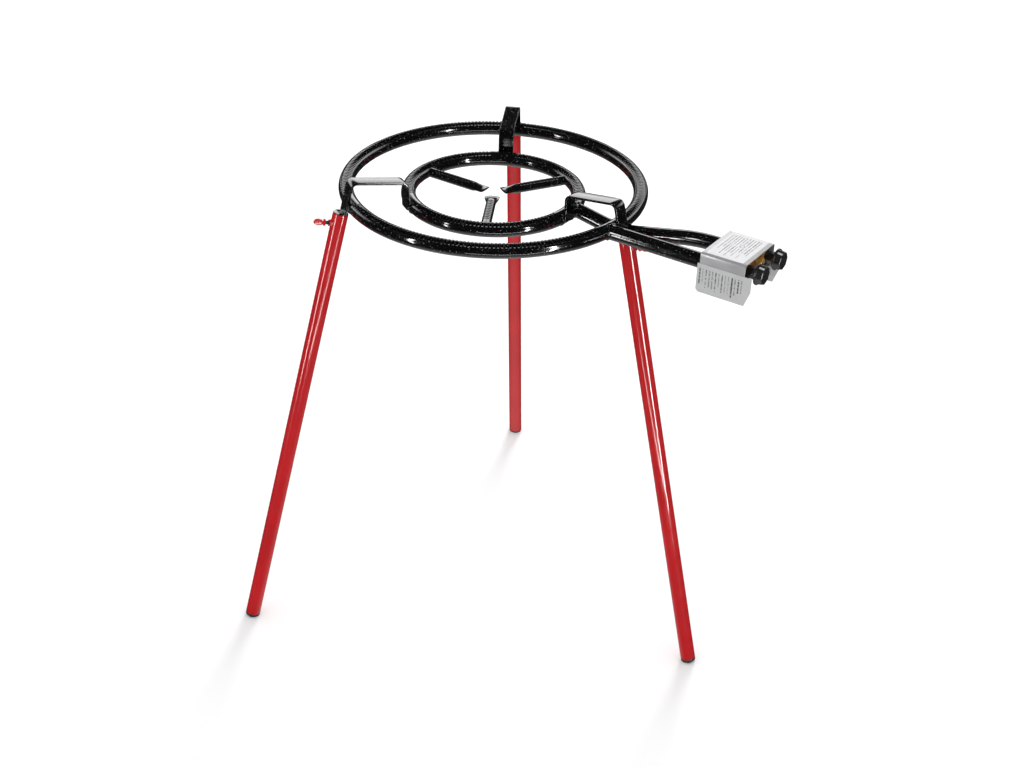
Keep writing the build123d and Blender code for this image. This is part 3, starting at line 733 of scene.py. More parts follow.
def make_bracket(leg):
    offset = TUBE_RADIUS + BAR_THICKNESS / 2 - BAR_BITE
    inner_x = INNER_RING + offset
    top_inner, top_outer = OUTER_RING_Z + BAR_HEIGHT_INNER, OUTER_RING_Z + BAR_HEIGHT_OUTER
    beside_rim = plane_point(leg, leg_line_radius(leg, leg.rim.z, offset), leg.rim.z)
    from_axis = (leg.matrix.inverted() @ beside_rim).x
    points = [
        plane_point(leg, inner_x, INNER_RING_Z - BAR_FOOT),
        plane_point(leg, inner_x, top_inner),
        plane_point(leg, leg_line_radius(leg, top_outer, offset), top_outer),
        leg.matrix @ Vector((from_axis, 0, PEG_COLLAR)),
    ]
    line = bent_line(points, [BAR_BEND, BAR_BEND], 3.2 * mm)
    side = Vector((0, 0, 1)).cross(Vector((math.cos(leg.angle), math.sin(leg.angle), 0)))
    loops = bar_loops(line, BAR_WIDTH, BAR_THICKNESS, 1.1 * mm, side)
    ends = [shrink_loop(loops[0], 0.5 * mm), shrink_loop(loops[-1], 0.5 * mm)]
    loops[0] = [p + (loops[1][i] - p).normalized() * 0.5 * mm for i, p in enumerate(loops[0])]
    loops[-1] = [p + (loops[-2][i] - p).normalized() * 0.5 * mm for i, p in enumerate(loops[-1])]
    shape = Shape()
    shape.stack([ends[0]] + loops + [ends[1]])
    enamelled(f"bracket_bar_{leg.number}", shape, f"pan_bracket_{leg.number}")
    rings = (("inner", INNER_RING, INNER_RING_Z, 0.0), ("outer", OUTER_RING, OUTER_RING_Z, leg.splay))
    for ring_name, ring_radius, ring_z, tilt in rings:
        for hand, hand_name in ((-1, "left"), (1, "right")):
            beads = []
            for k in range(13):
                a = math.radians(-52 + 104 * k / 12) + tilt
                radial = ring_radius + TUBE_RADIUS * math.cos(a)
                along = hand * (BAR_WIDTH / 2 + 0.3 * mm)
                turn = along / radial
                beads.append(ring_point(radial, leg.angle + turn, ring_z + TUBE_RADIUS * math.sin(a)))
            bead(f"bracket_weld_{leg.number}_{ring_name}_{hand_name}", beads, 1.7 * mm, False)


def make_peg(leg):
    """Peg with the collar that the leg's rim stops against."""
    radius = LEG_BORE - PEG_PLAY
    collar = LEG_RADIUS - PEG_COLLAR_INSET
    outline = [
        (HAIR, -PEG_LENGTH), (radius - 2 * mm, -PEG_LENGTH), (radius, -53 * mm), (radius, -0.4 * mm),
        (collar, 0), (collar, PEG_COLLAR), (HAIR, PEG_COLLAR),
    ]
    shape = Shape()
    lathe(shape, rounded_profile(outline, 0.5 * mm, 3), 56)
    shape.moved(leg.matrix)
    enamelled(f"peg_{leg.number}", shape, f"leg_peg_{leg.number}")


# ---- legs ----
LEG_LENGTH = 771.0 * mm


def make_leg_tube(leg):
    """Painted tube, its rims rounded by the paint."""
    rows = [(LEG_RADIUS, -LEG_LENGTH * k / 40) for k in range(41)]
    inner = [(LEG_BORE, -LEG_LENGTH * k / 8) for k in range(8, -1, -1)]
    rim = 0.5 * mm
    top = [(LEG_BORE, 0.0 - rim), (LEG_BORE + rim / 3, -rim / 3), (LEG_BORE + rim, 0), (LEG_RADIUS - rim, 0)]
    top += [(LEG_RADIUS - rim / 3, -rim / 3)]
    rows[0] = (LEG_RADIUS, -rim)
    inner[-1] = (LEG_BORE, -2 * rim)
    shape = Shape()
    lathe(shape, rows + inner + top, 56, ring=True)
    shape.moved(leg.matrix)
    finish_mesh(f"leg_{leg.number}_tube", shape, leg.body, "red_paint", f"leg_tube_{leg.number}", sharp=50)


def make_foot_cap(leg):
    """Push-on cap with a rounded edge, standing flat on the floor."""
    edge = LEG_RADIUS - 0.08 * mm
    outline = [
        (LEG_BORE - 2.5 * mm, 22 * mm), (LEG_BORE, 22 * mm), (LEG_BORE, 0.05 * mm), (edge - 0.3 * mm, 0.0),
        (edge, -0.4 * mm), (edge, -6 * mm), (HAIR, -6 * mm),
    ]
    profile = rounded_profile(outline, 2.5 * mm, 6)[:-1]
    for k in range(8, 0, -1):
        profile.append((edge * 0.1 * k, -6 * mm))
    profile.append((HAIR, -6 * mm))
    profile += [(HAIR, -1 * mm), (LEG_BORE - 2.5 * mm, -1 * mm)]
    shape = Shape()
    lathe(shape, profile, 56, ring=True)
    shape.moved(leg.matrix @ Matrix.Translation((0, 0, -LEG_LENGTH)))
    shape.verts = [Vector((v.x, v.y, max(v.z, 0.0))) for v in shape.verts]
    finish_mesh(f"foot_{leg.number}_cap", shape, leg.body, "foot_rubber", f"foot_cap_{leg.number}", sharp=45)


# ---- clamp nut and thumb screw ----
def hexagon_loops(across_flats, height, bevel, count=48):
    """Loops of a hexagon nut with its corners turned off at both ends."""
    def hex_radius(a):
        sector = (a + math.pi / 6) % (math.pi / 3) - math.pi / 6
        return across_flats / 2 / math.cos(sector)

    loops = []
    for z, limit in (
        (0.0, across_flats / 2 - bevel * 0.2), (bevel * 0.55, across_flats / 2 + bevel),
        (height - bevel * 0.55, across_flats / 2 + bevel), (height, across_flats / 2 - bevel * 0.2),
    ):
        angles = [2 * math.pi * i / count for i in range(count)]
        loops.append([
            Vector((min(hex_radius(a), limit) * math.cos(a), min(hex_radius(a), limit) * math.sin(a), z))
            for a in angles
        ])
    return loops


def out_matrix(leg):
    """Local +Z points out of the thumb screw; the origin is on the leg's axis."""
    axes = Matrix((leg.down.cross(leg.out), leg.down, leg.out)).transposed()
    return Matrix.Translation(leg.screw_centre) @ axes.to_4x4()


NUT_HEIGHT = 4.0 * mm
SCREW_BARE = 6.0 * mm
SCREW_COLLAR = 4.0 * mm
PADDLE_LENGTH = 15.0 * mm
PADDLE_HEIGHT = 11.0 * mm
PADDLE_THICKNESS = 4.0 * mm


def make_clamp_nut(leg):
    seat = LEG_RADIUS - 1.8 * mm
    top = LEG_RADIUS + NUT_HEIGHT
    shape = Shape()
    loops = hexagon_loops(10.0 * mm, top - seat, 0.9 * mm)
    loops = [[p + Vector((0, 0, seat)) for p in loop] for loop in loops]
    bore = [circle(3.06 * mm, 48, top - 0.5 * mm), circle(3.06 * mm, 48, seat)]
    chamfer = [circle(3.7 * mm, 48, top)]
    shape.stack(loops + chamfer + bore, ring=True)
    shape.moved(out_matrix(leg))
    finish_mesh(
        f"nut_{leg.number}", shape, leg.body, "red_paint", f"clamp_nut_{leg.number}", sharp=28, bevel=0.25 * mm
    )
    seam = []
    for k in range(40):
        a = 2 * math.pi * k / 40
        across, along = 5.6 * mm * math.cos(a), 5.6 * mm * math.sin(a)
        height = math.sqrt(LEG_RADIUS**2 - across**2) - 0.2 * mm
        seam.append(out_matrix(leg) @ Vector((across, along, height)))
    shape = Shape()
    loops = []
    for i, point in enumerate(seam):
        tangent = (seam[(i + 1) % 40] - seam[i - 1]).normalized()
        across = tangent.cross(leg.out).normalized()
        r = 0.9 * mm * (1 + 0.12 * math.sin(i * 1.9))
        loops.append([
            point + (across * math.cos(b) + leg.out * math.sin(b)) * r
            for b in full_turn(8)
        ])
    shape.stack(loops, ring=True)
    finish_mesh(f"nut_weld_{leg.number}", shape, leg.body, "red_paint", sharp=70)


def make_thumb_screw(leg):
    """Spade-headed screw: threaded shank, coned collar and a flat oval paddle."""
    tip = LEG_BORE - 0.08 * mm + 0.3 * mm
    collar = LEG_RADIUS + NUT_HEIGHT + SCREW_BARE
    paddle = collar + SCREW_COLLAR
    thread = []
    pitch = 1.0 * mm
    z = tip + 0.6 * mm
    while z + pitch < collar:
        thread += [(2.98 * mm, z), (2.98 * mm, z + 0.2 * pitch), (2.55 * mm, z + 0.6 * pitch)]
        z += pitch
    profile = [(HAIR, tip), (2.2 * mm, tip), (2.55 * mm, tip + 0.4 * mm)] + thread
    profile += [(2.9 * mm, collar), (HAIR, collar)]
    shape = Shape()
    lathe(shape, profile, 32)
    shape.moved(out_matrix(leg))
    steel = FINISHES["dark_steel"]
    finish_mesh(f"screw_shank_{leg.number}", shape, leg.clamp, "red_paint", material=steel, sharp=25)
    head = Shape()
    outline = [
        (HAIR, collar), (5.2 * mm, collar), (6.0 * mm, collar + 0.8 * mm),
        (5.0 * mm, collar + 2.4 * mm), (3.4 * mm, paddle), (2.4 * mm, paddle + 2.0 * mm), (HAIR, paddle + 2.6 * mm),
    ]
    lathe(head, rounded_profile(outline, 0.9 * mm, 3), 36)
    centre = paddle + PADDLE_LENGTH / 2 - 0.9 * mm
    loops = []
    for k in range(17):
        t = math.pi * k / 16
        fullness = 0.84 + 0.16 * math.sqrt(math.sin(t)) if 0 < k < 16 else 0.84
        high = PADDLE_HEIGHT / 2 * fullness
        long = (PADDLE_LENGTH / 2 + 0.8 * mm) * fullness
        across = PADDLE_THICKNESS / 2 * math.cos(t)
        loops.append([
            Vector((high * math.cos(a), across, centre + long * math.sin(a)))
            for a in full_turn(40)
        ])
    head.stack(loops)
    head.moved(out_matrix(leg) @ Matrix.Rotation(math.radians(90), 4, "Z"))
    finish_mesh(
        f"screw_head_{leg.number}", head, leg.clamp, "red_paint", f"thumb_screw_{leg.number}", sharp=50
    )


# ---- valve cover, plates and label ----
PLATE_CORNER = (9.0 * mm, 24.0 * mm)
PLATE_SMALL_CORNER = 4.0 * mm
COVER_BEND = 4.0 * mm


def make_valve_cover():
    """Thin sheet folded over the valves, with rolled bends and lips turned in underneath."""
    low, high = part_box("valve_cover")
    middle_x = (low.x + high.x) / 2
    near, far = low.y + SHEET / 2, high.y - SHEET / 2
    bottom, top = low.z + SHEET / 2, high.z - SHEET / 2
    corners = [(near + LIP, bottom), (near, bottom), (near, top)]
    corners += [(far, top), (far, bottom), (far - LIP, bottom)]
    points = [Vector((middle_x, y, z)) for y, z in corners]
    line = bent_line(points, [COVER_BEND - SHEET / 2] * 4, 3.0 * mm)
    loops = bar_loops(line, high.x - low.x, SHEET, 0.45 * mm, Vector((1, 0, 0)))
    shape = Shape()
    shape.stack(loops)
    finish_mesh("cover_sheet", shape, "burner", "cover_sheet", "valve_cover", sharp=40)


def flat_plate(name, outline, place, thickness, slot, node, edge, material=None):
    """Sheet with a thin rounded-over edge; place turns (a, b, depth) into a point."""
    middle_point = sum(outline, Vector((0, 0))) / len(outline)
    shape = Shape()
    loops = []
    for inset, depth in ((edge, 0.0), (0.0, edge), (0.0, thickness - edge), (edge, thickness)):
        loops.append([
            place(*(p + (middle_point - p).normalized() * inset), depth) for p in outline
        ])
    shape.stack(loops)
    finish_mesh(name, shape, "burner", slot, node, material, sharp=35)


def make_side_plate(node, side):
    low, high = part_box(node)
    cut_x, cut_z = PLATE_CORNER
    small = PLATE_SMALL_CORNER
    corners = [
        (low.x, high.z), (high.x, high.z), (high.x, low.z + cut_z), (high.x - cut_x, low.z),
        (low.x + small, low.z), (low.x, low.z + small),
    ]
    outline = rounded_corners(corners, 0.9 * mm)
    inner_y = high.y if side < 0 else low.y

    def place(x, z, depth):
        return Vector((x, inner_y + side * depth, z))

    material = INNER_PLATE if side > 0 else None
    flat_plate(f"{node}_sheet", outline, place, high.y - low.y, "plate_foil", node, 0.12 * mm, material)


def make_top_label():
    low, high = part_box("top_label")
    corners = [(low.x, low.y), (high.x, low.y), (high.x, high.y), (low.x, high.y)]
    outline = rounded_corners(corners, 1.5 * mm)

    def place(x, y, depth):
        return Vector((x, y, low.z + depth))

    flat_plate("label_sheet", outline, place, high.z - low.z, "white_label", "top_label", 0.05 * mm)


def print_mask(m, across, along, start, pitch, height, reach_low, reach_high, seed):
    """Rows of generic grey dashes: across picks the row, along breaks it into word-like runs."""
    row_place = m.math("DIVIDE", m.math("SUBTRACT", across, start), pitch)
    row = m.math("FLOOR", row_place)
    within = m.math("FRACT", row_place)
    chance = m.new("ShaderNodeTexWhiteNoise", noise_dimensions="1D")
    m.link(m.math("ADD", row, seed), chance.inputs["W"])
    pick = m.new("ShaderNodeSeparateColor")
    m.link(chance.outputs["Color"], pick.inputs[0])
    in_row = m.math("LESS_THAN", within, m.math("ADD", m.math("MULTIPLY", pick.outputs[0], 0.25), height))
    where = m.new("ShaderNodeCombineXYZ")
    m.link(m.math("MULTIPLY", along, 520.0), where.inputs[0])
    m.link(m.math("MULTIPLY", row, 7.3), where.inputs[1])
    runs = m.math("GREATER_THAN", m.noise(1.0, 1.0, 0.5, where.outputs[0]), 0.43)
    letters_place = m.new("ShaderNodeCombineXYZ")
    m.link(m.math("MULTIPLY", along, 1900.0), letters_place.inputs[0])
    m.link(m.math("MULTIPLY", row, 3.1), letters_place.inputs[1])
    ink = m.math("ADD", 0.45, m.math("MULTIPLY", m.noise(1.0, 0.0, 0.5, letters_place.outputs[0]), 0.9), True)
    length = m.math("MULTIPLY", pick.outputs[1], (reach_high - reach_low) * 0.42)
    after = m.math("GREATER_THAN", along, m.math("ADD", reach_low, length))
    before = m.math("LESS_THAN", along, reach_high)
    mask = m.math("MULTIPLY", m.math("MULTIPLY", in_row, runs), m.math("MULTIPLY", after, before))
    strength = m.math("ADD", m.math("MULTIPLY", pick.outputs[2], 0.5), 0.5)
    return m.math("MULTIPLY", m.math("MULTIPLY", mask, ink), strength, True)


def position(m):
    split = m.new("ShaderNodeSeparateXYZ")
    m.link(m.place, split.inputs[0])
    return split.outputs


def inside(m, value, low, high):
    return m.math("MULTIPLY", m.math("GREATER_THAN", value, low), m.math("LESS_THAN", value, high))


PAPER = (0.52, 0.53, 0.53)
INK = (0.04, 0.04, 0.05)


def plate_material(node, seed):
    """Pale printed foil with rows of plain dashes that run up the plate."""
    low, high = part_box(node)
    m = Nodes(f"{node}_print")
    x, y, z = position(m)
    rows = print_mask(m, x, z, low.x + 4 * mm, 5.3 * mm, 0.22, low.z + 5 * mm, high.z - 7 * mm, seed)
    rows = m.math("MULTIPLY", rows, inside(m, x, low.x + 4 * mm, high.x - 12 * mm))
    heavy_column = inside(m, x, low.x + 57 * mm, low.x + 59.6 * mm)
    heavy = m.math("MULTIPLY", heavy_column, inside(m, z, low.z + 7 * mm, high.z - 8 * mm))
    broken = m.math("GREATER_THAN", m.noise(1.0, 0.0, 0.5, m.scaled((0.0, 0.0, 700.0))), 0.38)
    rows = m.math("ADD", rows, m.math("MULTIPLY", m.math("MULTIPLY", heavy, broken), 0.8), True)
    cloud = m.grain(60.0, 4.0, tuple(c * 0.93 for c in PAPER), PAPER)
    m.wire(m.mix(rows, cloud, INK), "Base Color")
    m.rough(160.0, 3.0, 0.36, 0.5)
    m.bump(m.noise(300.0, 3.0), 0.08, 0.0003)
    return m.material


def label_material():
    """White paper label with rows of plain grey dashes and one plain ring."""
    low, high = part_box("top_label")
    m = Nodes("white_printed_label")
    x, y, z = position(m)
    rows = print_mask(m, x, y, low.x + 5 * mm, 4.6 * mm, 0.20, low.y + 6 * mm, high.y - 6 * mm, 41.0)
    rows = m.math("MULTIPLY", rows, inside(m, x, low.x + 4 * mm, high.x - 5 * mm))
    centre = ((low + high) / 2) + Vector((4 * mm, 6 * mm, 0))
    away_x = m.math("POWER", m.math("SUBTRACT", x, centre.x), 2.0)
    away_y = m.math("POWER", m.math("SUBTRACT", y, centre.y), 2.0)
    away = m.math("SQRT", m.math("ADD", away_x, away_y))
    clear = m.math("GREATER_THAN", away, 6.5 * mm)
    rows = m.math("MULTIPLY", rows, clear)
    print_and_painted_highlight = inside(m, away, 3.0 * mm, 4.4 * mm)
    printed = m.math("ADD", m.math("MULTIPLY", rows, 1.6), m.math("MULTIPLY", print_and_painted_highlight, 0.75), True)
    cloud = m.grain(70.0, 3.0, (0.68, 0.68, 0.69), (0.73, 0.73, 0.74))
    m.wire(m.mix(printed, cloud, (0.10, 0.10, 0.11)), "Base Color")
    m.rough(200.0, 3.0, 0.38, 0.5)
    m.bump(m.noise(900.0, 3.0), 0.06, 0.0002)
    return m.material


FINISHES = {
    "black_enamel": enamel_material(),
    "red_paint": red_paint_material(),
    "cover_sheet": brushed_sheet_material(),
    "knob_plastic": black_plastic_material(),
    "foot_rubber": rubber_material(),
    "brass": brass_material(),
    "dark_steel": steel_material("blackened_steel", 0.05, 0.11, 0.32),
    "steel": steel_material("zinc_plated_steel", 0.42, 0.6, 0.22),
    "plate_foil": plate_material("side_plate_outer", 3.0),
    "white_label": label_material(),
}
INNER_PLATE = plate_material("side_plate_inner", 17.0)
# painted highlight for an upper facet of each knob
FACET_HIGHLIGHT = painted_highlight_material()


# ---- knobs, glands and inlet ----
KNOB_SKIRT = 3.0 * mm
KNOB_FACETS = 8
KNOB_ROOT = 16.0 * mm
KNOB_FACE = 14.2 * mm
KNOB_SOFTNESS = 0.012     # how far its corners are rounded in, as a share of their radius
SPINDLE_RADIUS = 3.0 * mm


def along_x(point):
    """Frame whose +Z points out along the handle and whose +X points up."""
    axes = Matrix(((0, 0, 1), (0, -1, 0), (1, 0, 0))).transposed()
    return Matrix.Translation(point) @ axes.to_4x4()


def facet_radius(angle, corner_radius):
    """Radius of a polygon with its corners rounded off."""
    step = 2 * math.pi / KNOB_FACETS
    local = (angle + step / 2) % step - step / 2
    flat = corner_radius * math.cos(step / 2) / math.cos(step / 2 - abs(local))
    return min(flat, corner_radius * (1 - KNOB_SOFTNESS * (1 - abs(local) / (step / 2)) ** 3))


def make_knob(name):
    low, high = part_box(f"knob_{name}")
    centre = Vector((low.x, (low.y + high.y) / 2, (low.z + high.z) / 2))
    length = high.x - low.x
    skirt = (high.z - low.z) / 2
    count = KNOB_FACETS * 12
    angles = full_turn(count)

    def grip(z, inset):
        share = (z - KNOB_SKIRT) / (length - KNOB_SKIRT)
        corner = KNOB_ROOT + (KNOB_FACE - KNOB_ROOT) * share - inset
        radii = [facet_radius(a, corner) for a in angles]
        return [Vector((r * math.cos(a), r * math.sin(a), z)) for a, r in zip(angles, radii)]

    def ring(radius, z):
        return [Vector((radius * math.cos(a), radius * math.sin(a), z)) for a in angles]

    bore = SPINDLE_RADIUS + 0.02 * mm
    loops = [ring(bore, 0.6 * mm), ring(bore, 0.0), ring(skirt - 1.2 * mm, 0.0)]
    loops += [ring(skirt - 0.3 * mm, 0.3 * mm), ring(skirt, 1.1 * mm), ring(skirt, KNOB_SKIRT - 0.9 * mm)]
    loops += [ring(skirt - 0.35 * mm, KNOB_SKIRT - 0.2 * mm)]
    loops += [grip(KNOB_SKIRT, -0.2 * mm), grip(KNOB_SKIRT + 0.5 * mm, 0.0)]
    loops += [grip(KNOB_SKIRT + (length - KNOB_SKIRT) * k / 6, 0.0) for k in range(1, 6)]
    edge = 1.1 * mm
    for k in range(4):
        t = math.pi / 2 * k / 3
        loops.append(grip(length - edge + edge * math.sin(t), edge * (1 - math.cos(t))))
    for share, sink in ((0.86, 0.0), (0.80, 0.35), (0.5, 0.42), (0.2, 0.45)):
        radius = KNOB_FACE * share
        loops.append(ring(radius * 0.98, length - sink * mm))
    shape = Shape()
    shape.stack(loops)
    shape.moved(along_x(centre))
    finish_mesh(f"knob_body_{name}", shape, f"control_{name}", "knob_plastic", f"knob_{name}", sharp=24)
    # A thin pale bar shaped like an index mark on an upper facet: a painted highlight where the lamp shines on that
    # facet.
    print_and_painted_highlight = Shape()
    flat = math.cos(math.pi / KNOB_FACETS)
    loops = []
    for lift, inset in ((-0.5 * mm, 0.0), (0.18 * mm, 0.0), (0.28 * mm, 0.25 * mm)):
        points = []
        for share, side in ((0.08, -1), (0.08, 1), (0.90, 1), (0.90, -1)):
            z = KNOB_SKIRT + (length - KNOB_SKIRT) * share
            z += inset if share < 0.5 else -inset
            radius = (KNOB_ROOT + (KNOB_FACE - KNOB_ROOT) * share) * flat + lift
            points.append(Vector((radius, side * (1.7 * mm - inset), z)))
        loops.append(points)
    print_and_painted_highlight.stack(loops)
    turn = Matrix.Rotation(math.pi / KNOB_FACETS, 4, "Z")
    print_and_painted_highlight.moved(along_x(centre) @ turn)
    finish_mesh(f"knob_painted_highlight_{name}", print_and_painted_highlight, f"control_{name}", "knob_plastic", material=FACET_HIGHLIGHT, sharp=30)


def make_gland_nut(name):
    """Hexagon nut with turned corners and a knurled collar beside the valve."""
    low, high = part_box(f"gland_nut_{name}")
    centre = Vector((low.x, (low.y + high.y) / 2, (low.z + high.z) / 2))
    spigot = 3.0 * mm
    length = high.x - low.x - spigot
    flats = 18.0 * mm
    shape = Shape()
    loops = hexagon_loops(flats, length * 0.62, 0.9 * mm, 96)
    loops = [[p + Vector((0, 0, length * 0.38)) for p in loop] for loop in loops]
    ribbed = []
    for z, depth in ((0.0, 0.5), (0.3, 0.0), (length / mm * 0.38 - 0.5, 0.0), (length / mm * 0.38, 0.6)):
        radii = [9.3 * mm - depth * mm - (0.35 * mm if i % 4 < 2 else 0.0) for i in range(96)]
        ribbed.append([
            Vector((r * math.cos(a), r * math.sin(a), z * mm))
            for a, r in zip(full_turn(96), radii)
        ])
    bore = SPINDLE_RADIUS + 0.05 * mm
    outer = 6.1 * mm
    inner = [circle(bore + 0.6 * mm, 96, length), circle(bore, 96, length - 0.6 * mm)]
    inner += [circle(r, 96, z) for r, z in ((bore, -spigot), (outer, -spigot), (outer, 0.0))]
    shape.stack(ribbed + loops + inner, ring=True)
    shape.moved(along_x(centre + Vector((spigot, 0, 0))))
    finish_mesh(f"gland_{name}", shape, "burner", "dark_steel", f"gland_nut_{name}", sharp=25)


INLET_BOSS = 8.0 * mm
INLET_BORE = 5.72 * mm


def make_inlet():
    """Thread ridges inside the inlet, and a turned rim and grooves around its boss."""
    mount = next(item for item in frame["record"]["mounts"] if item["name"] == "gas_inlet")
    centre = Vector(mount["pos_m"])
    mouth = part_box("gas_manifold")[1].x
    profile = []
    pitch = 1.34 * mm
    depth = 12.0 * mm
    turns = int(depth / pitch)
    for k in range(turns):
        z = -depth + k * pitch
        profile += [(INLET_BORE + 0.01 * mm, z), (INLET_BORE - 0.45 * mm, z + pitch * 0.45)]
        profile += [(INLET_BORE - 0.45 * mm, z + pitch * 0.6)]
    profile += [(INLET_BORE + 0.01 * mm, -1.0 * mm), (INLET_BORE + 0.7 * mm, 0.02 * mm)]
    profile += [(INLET_BOSS - 0.6 * mm, 0.02 * mm), (INLET_BOSS + 0.02 * mm, -0.6 * mm)]
    profile += [(INLET_BOSS + 0.02 * mm, -3.4 * mm), (INLET_BOSS - 0.5 * mm, -3.8 * mm)]
    profile += [(INLET_BOSS - 0.5 * mm, -4.6 * mm), (INLET_BOSS + 0.02 * mm, -5.0 * mm)]
    profile += [(INLET_BOSS + 0.02 * mm, -12.6 * mm), (INLET_BORE + 0.3 * mm, -12.6 * mm)]
    shape = Shape()
    lathe(shape, profile, 64, ring=True)
    shape.moved(along_x(Vector((mouth, centre.y, centre.z))))
    finish_mesh("inlet_thread", shape, "burner", "brass", sharp=30)


# ---- everything ----
def paint_kept_nodes():
    """Procedural materials on the CAD pieces that stay, by their slot in the record."""
    for part in frame["record"]["subparts"]:
        node = frame["nodes"][part["node"]]
        for place in node.material_slots:
            place.material = FINISHES[part["material_slot"]]


paint_kept_nodes()
outer_feed = math.asin((middle("outer_supply_pipe").y - RING_AXIS.y) / OUTER_RING)
inner_feed = math.asin((middle("inner_supply_pipe").y - RING_AXIS.y) / INNER_RING)
make_ring("outer_ring", OUTER_RING, OUTER_RING_Z, BRACKET_ANGLES, outer_feed)
make_ring("inner_ring", INNER_RING, INNER_RING_Z, SPOKE_ANGLES, inner_feed)
for number, angle in enumerate(SPOKE_ANGLES, start=1):
    make_spoke(number, angle)
make_pipes()
for leg in LEGS:
    make_bracket(leg)
    make_peg(leg)
    make_leg_tube(leg)
    make_foot_cap(leg)
    make_clamp_nut(leg)
    make_thumb_screw(leg)
make_valve_cover()
make_side_plate("side_plate_outer", -1)
make_side_plate("side_plate_inner", 1)
make_top_label()
for name in ("outer", "inner"):
    make_knob(name)
    make_gland_nut(name)
make_inlet()


# ---- floor, light and camera ----
def pale_floor():
    m = Nodes("pale_studio_floor")
    m.colour(3.0, 2.0, (0.965, 0.965, 0.965), (0.975, 0.975, 0.975))
    m.put("Roughness", 0.55)
    m.put("Specular IOR Level", 0.15)
    mesh = bpy.data.meshes.new("floor")
    reach = 12.0
    corners = [(-reach, -reach, 0), (reach, -reach, 0), (reach, reach, 0), (-reach, reach, 0)]
    mesh.from_pydata(corners, [], [(0, 1, 2, 3)])
    mesh.materials.append(m.material)
    floor = bpy.data.objects.new("floor", mesh)
    bpy.context.scene.collection.objects.link(floor)
    floor.visible_glossy = False


def soft_box(name, place, aim, width, height, power, lights=True, shines=True):
    """Area light; it can light surfaces, show as a highlight, or both."""
    light = bpy.data.lights.new(name, "AREA")
    light.shape = "RECTANGLE"
    light.size = width
    light.size_y = height
    light.energy = power
    lamp = bpy.data.objects.new(name, light)
    bpy.context.scene.collection.objects.link(lamp)
    lamp.location = place
    lamp.rotation_euler = (Vector(aim) - Vector(place)).to_track_quat("-Z", "Y").to_euler()
    lamp.visible_camera = False
    lamp.visible_diffuse = lights
    lamp.visible_glossy = shines


VIEW_TURN = math.radians(33.4)
TURN = Matrix.Rotation(VIEW_TURN, 3, "Z")


def studio(point):
    """A place given as (right, away, up) of the photograph's view, from under the rings."""
    return TURN @ Vector(point) + Vector((RING_AXIS.x, RING_AXIS.y, 0))


WORLD_LEVEL = 0.95
ROOM_LEVEL = 0.03         # what reflections see where no light stands
BAND_LEVEL = 3.2          # pale wall behind, as reflections see it
BAND_EDGES = ((0.12, 0.0), (0.2, 1.0), (0.42, 1.0), (0.5, 0.0))
BEHIND_EDGES = ((0.1, 0.0), (0.4, 1.0))
FLOOR_LEVEL = 0.9         # floor just under the burner, as reflections see it
FLOOR_EDGES = ((-0.95, 1.0), (-0.6, 0.0))


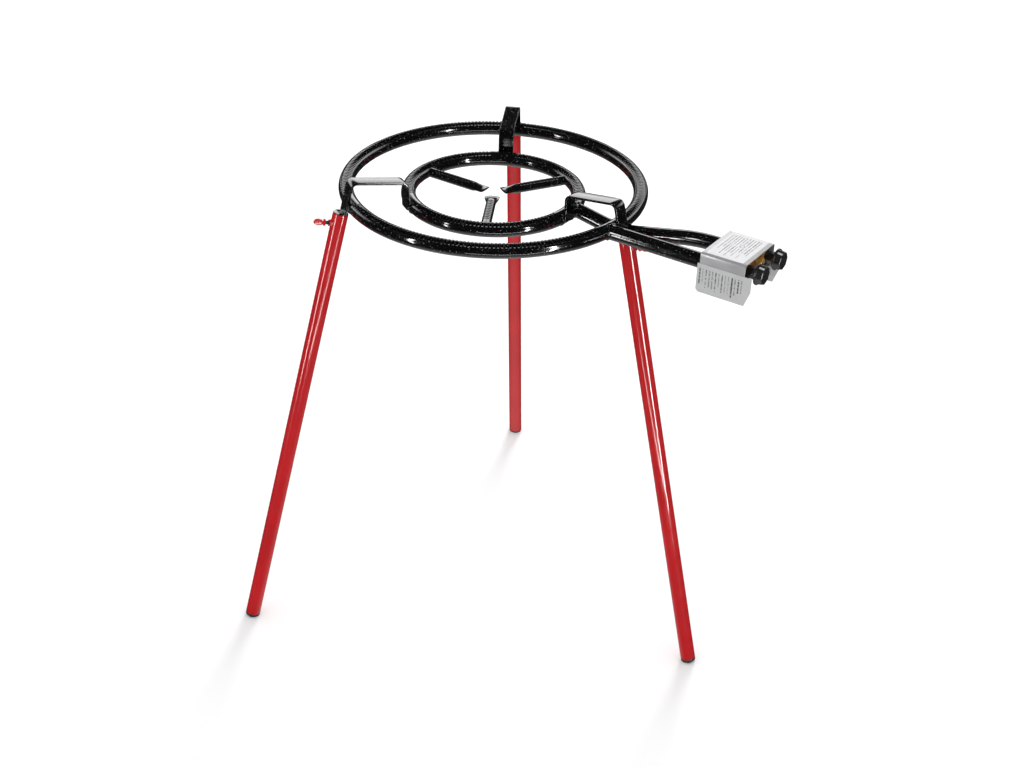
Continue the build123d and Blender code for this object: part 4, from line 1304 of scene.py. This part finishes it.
def studio_world():
    """White surroundings for soft light; reflections see a dark room with a pale band behind."""
    world = bpy.data.worlds.new("studio")
    bpy.context.scene.world = world
    world.use_nodes = True
    w = Tree(world.node_tree)

    def slope(value, edges):
        """Straight ramp through (height, level) points, clamped beyond them."""
        parts = []
        for (low, start), (high, end) in zip(edges, edges[1:]):
            node = w.new("ShaderNodeMapRange")
            node.inputs["From Min"].default_value = low
            node.inputs["From Max"].default_value = high
            node.inputs["To Min"].default_value = 0.0
            node.inputs["To Max"].default_value = end - start
            w.link(value, node.inputs["Value"])
            parts.append(node.outputs["Result"])
        total = w.math("ADD", parts[0], edges[0][1])
        for part in parts[1:]:
            total = w.math("ADD", total, part)
        return total

    direction = w.new("ShaderNodeTexCoord").outputs["Generated"]
    split = w.new("ShaderNodeSeparateXYZ")
    w.link(direction, split.inputs[0])
    away = w.new("ShaderNodeVectorMath", operation="DOT_PRODUCT")
    w.link(direction, away.inputs[0])
    away.inputs[1].default_value = TURN @ Vector((0, 1, 0))
    behind = slope(away.outputs["Value"], BEHIND_EDGES)
    band = w.math("MULTIPLY", slope(split.outputs["Z"], BAND_EDGES), behind)
    floor = w.math("MULTIPLY", slope(split.outputs["Z"], FLOOR_EDGES), FLOOR_LEVEL)
    seen = w.math("ADD", w.math("MULTIPLY", band, BAND_LEVEL), w.math("ADD", floor, ROOM_LEVEL))
    rays = w.new("ShaderNodeLightPath")
    level = w.new("ShaderNodeMix", data_type="FLOAT")
    w.link(rays.outputs["Is Glossy Ray"], level.inputs[0])
    level.inputs[2].default_value = WORLD_LEVEL
    w.link(seen, level.inputs[3])
    w.link(level.outputs[0], w.tree.nodes["Background"].inputs["Strength"])
    w.tree.nodes["Background"].inputs["Color"].default_value = (1.0, 1.0, 1.0, 1.0)


def light_scene():
    studio_world()
    target = studio((0, 0, 0.6))
    soft_box("key", studio((0.7, 3.0, 3.0)), target, 0.9, 0.9, 60.0, shines=False)
    soft_box("leg_strip", studio((1.15, -1.3, 0.7)), studio((0.3, 0, 0.5)), 0.09, 1.6, 40.0, lights=False)
    soft_box("left_strip", studio((-1.7, -1.2, 0.8)), studio((-0.3, 0, 0.5)), 0.12, 1.6, 20.0, lights=False)
    soft_box("low_front", studio((0.2, -1.1, 0.12)), studio((0, -0.2, 0.76)), 1.2, 0.05, 3.0, lights=False)
    bpy.context.scene.view_settings.view_transform = "Standard"


def set_camera():
    """The photograph's view: a long lens from above, leaning slightly."""
    elevation = math.radians(31.63)
    roll = math.radians(1.76)
    distance = 2.714
    aim = TURN @ Vector((0.0396, 0, -0.3783)) + RING_AXIS
    forward = TURN @ Vector((0, math.cos(elevation), -math.sin(elevation)))
    level = TURN @ Vector((1, 0, 0))
    upright = level.cross(forward)
    right = level * math.cos(roll) + upright * math.sin(roll)
    up = upright * math.cos(roll) - level * math.sin(roll)
    camera = bpy.data.cameras.new("camera")
    camera.lens = 54.63
    camera.sensor_width = 36.0
    camera.clip_end = 60.0
    holder = bpy.data.objects.new("camera", camera)
    bpy.context.scene.collection.objects.link(holder)
    axes = Matrix((right, up, -forward)).transposed()
    holder.matrix_world = Matrix.Translation(aim - forward * distance) @ axes.to_4x4()
    bpy.context.scene.camera = holder


pale_floor()
light_scene()
set_camera()
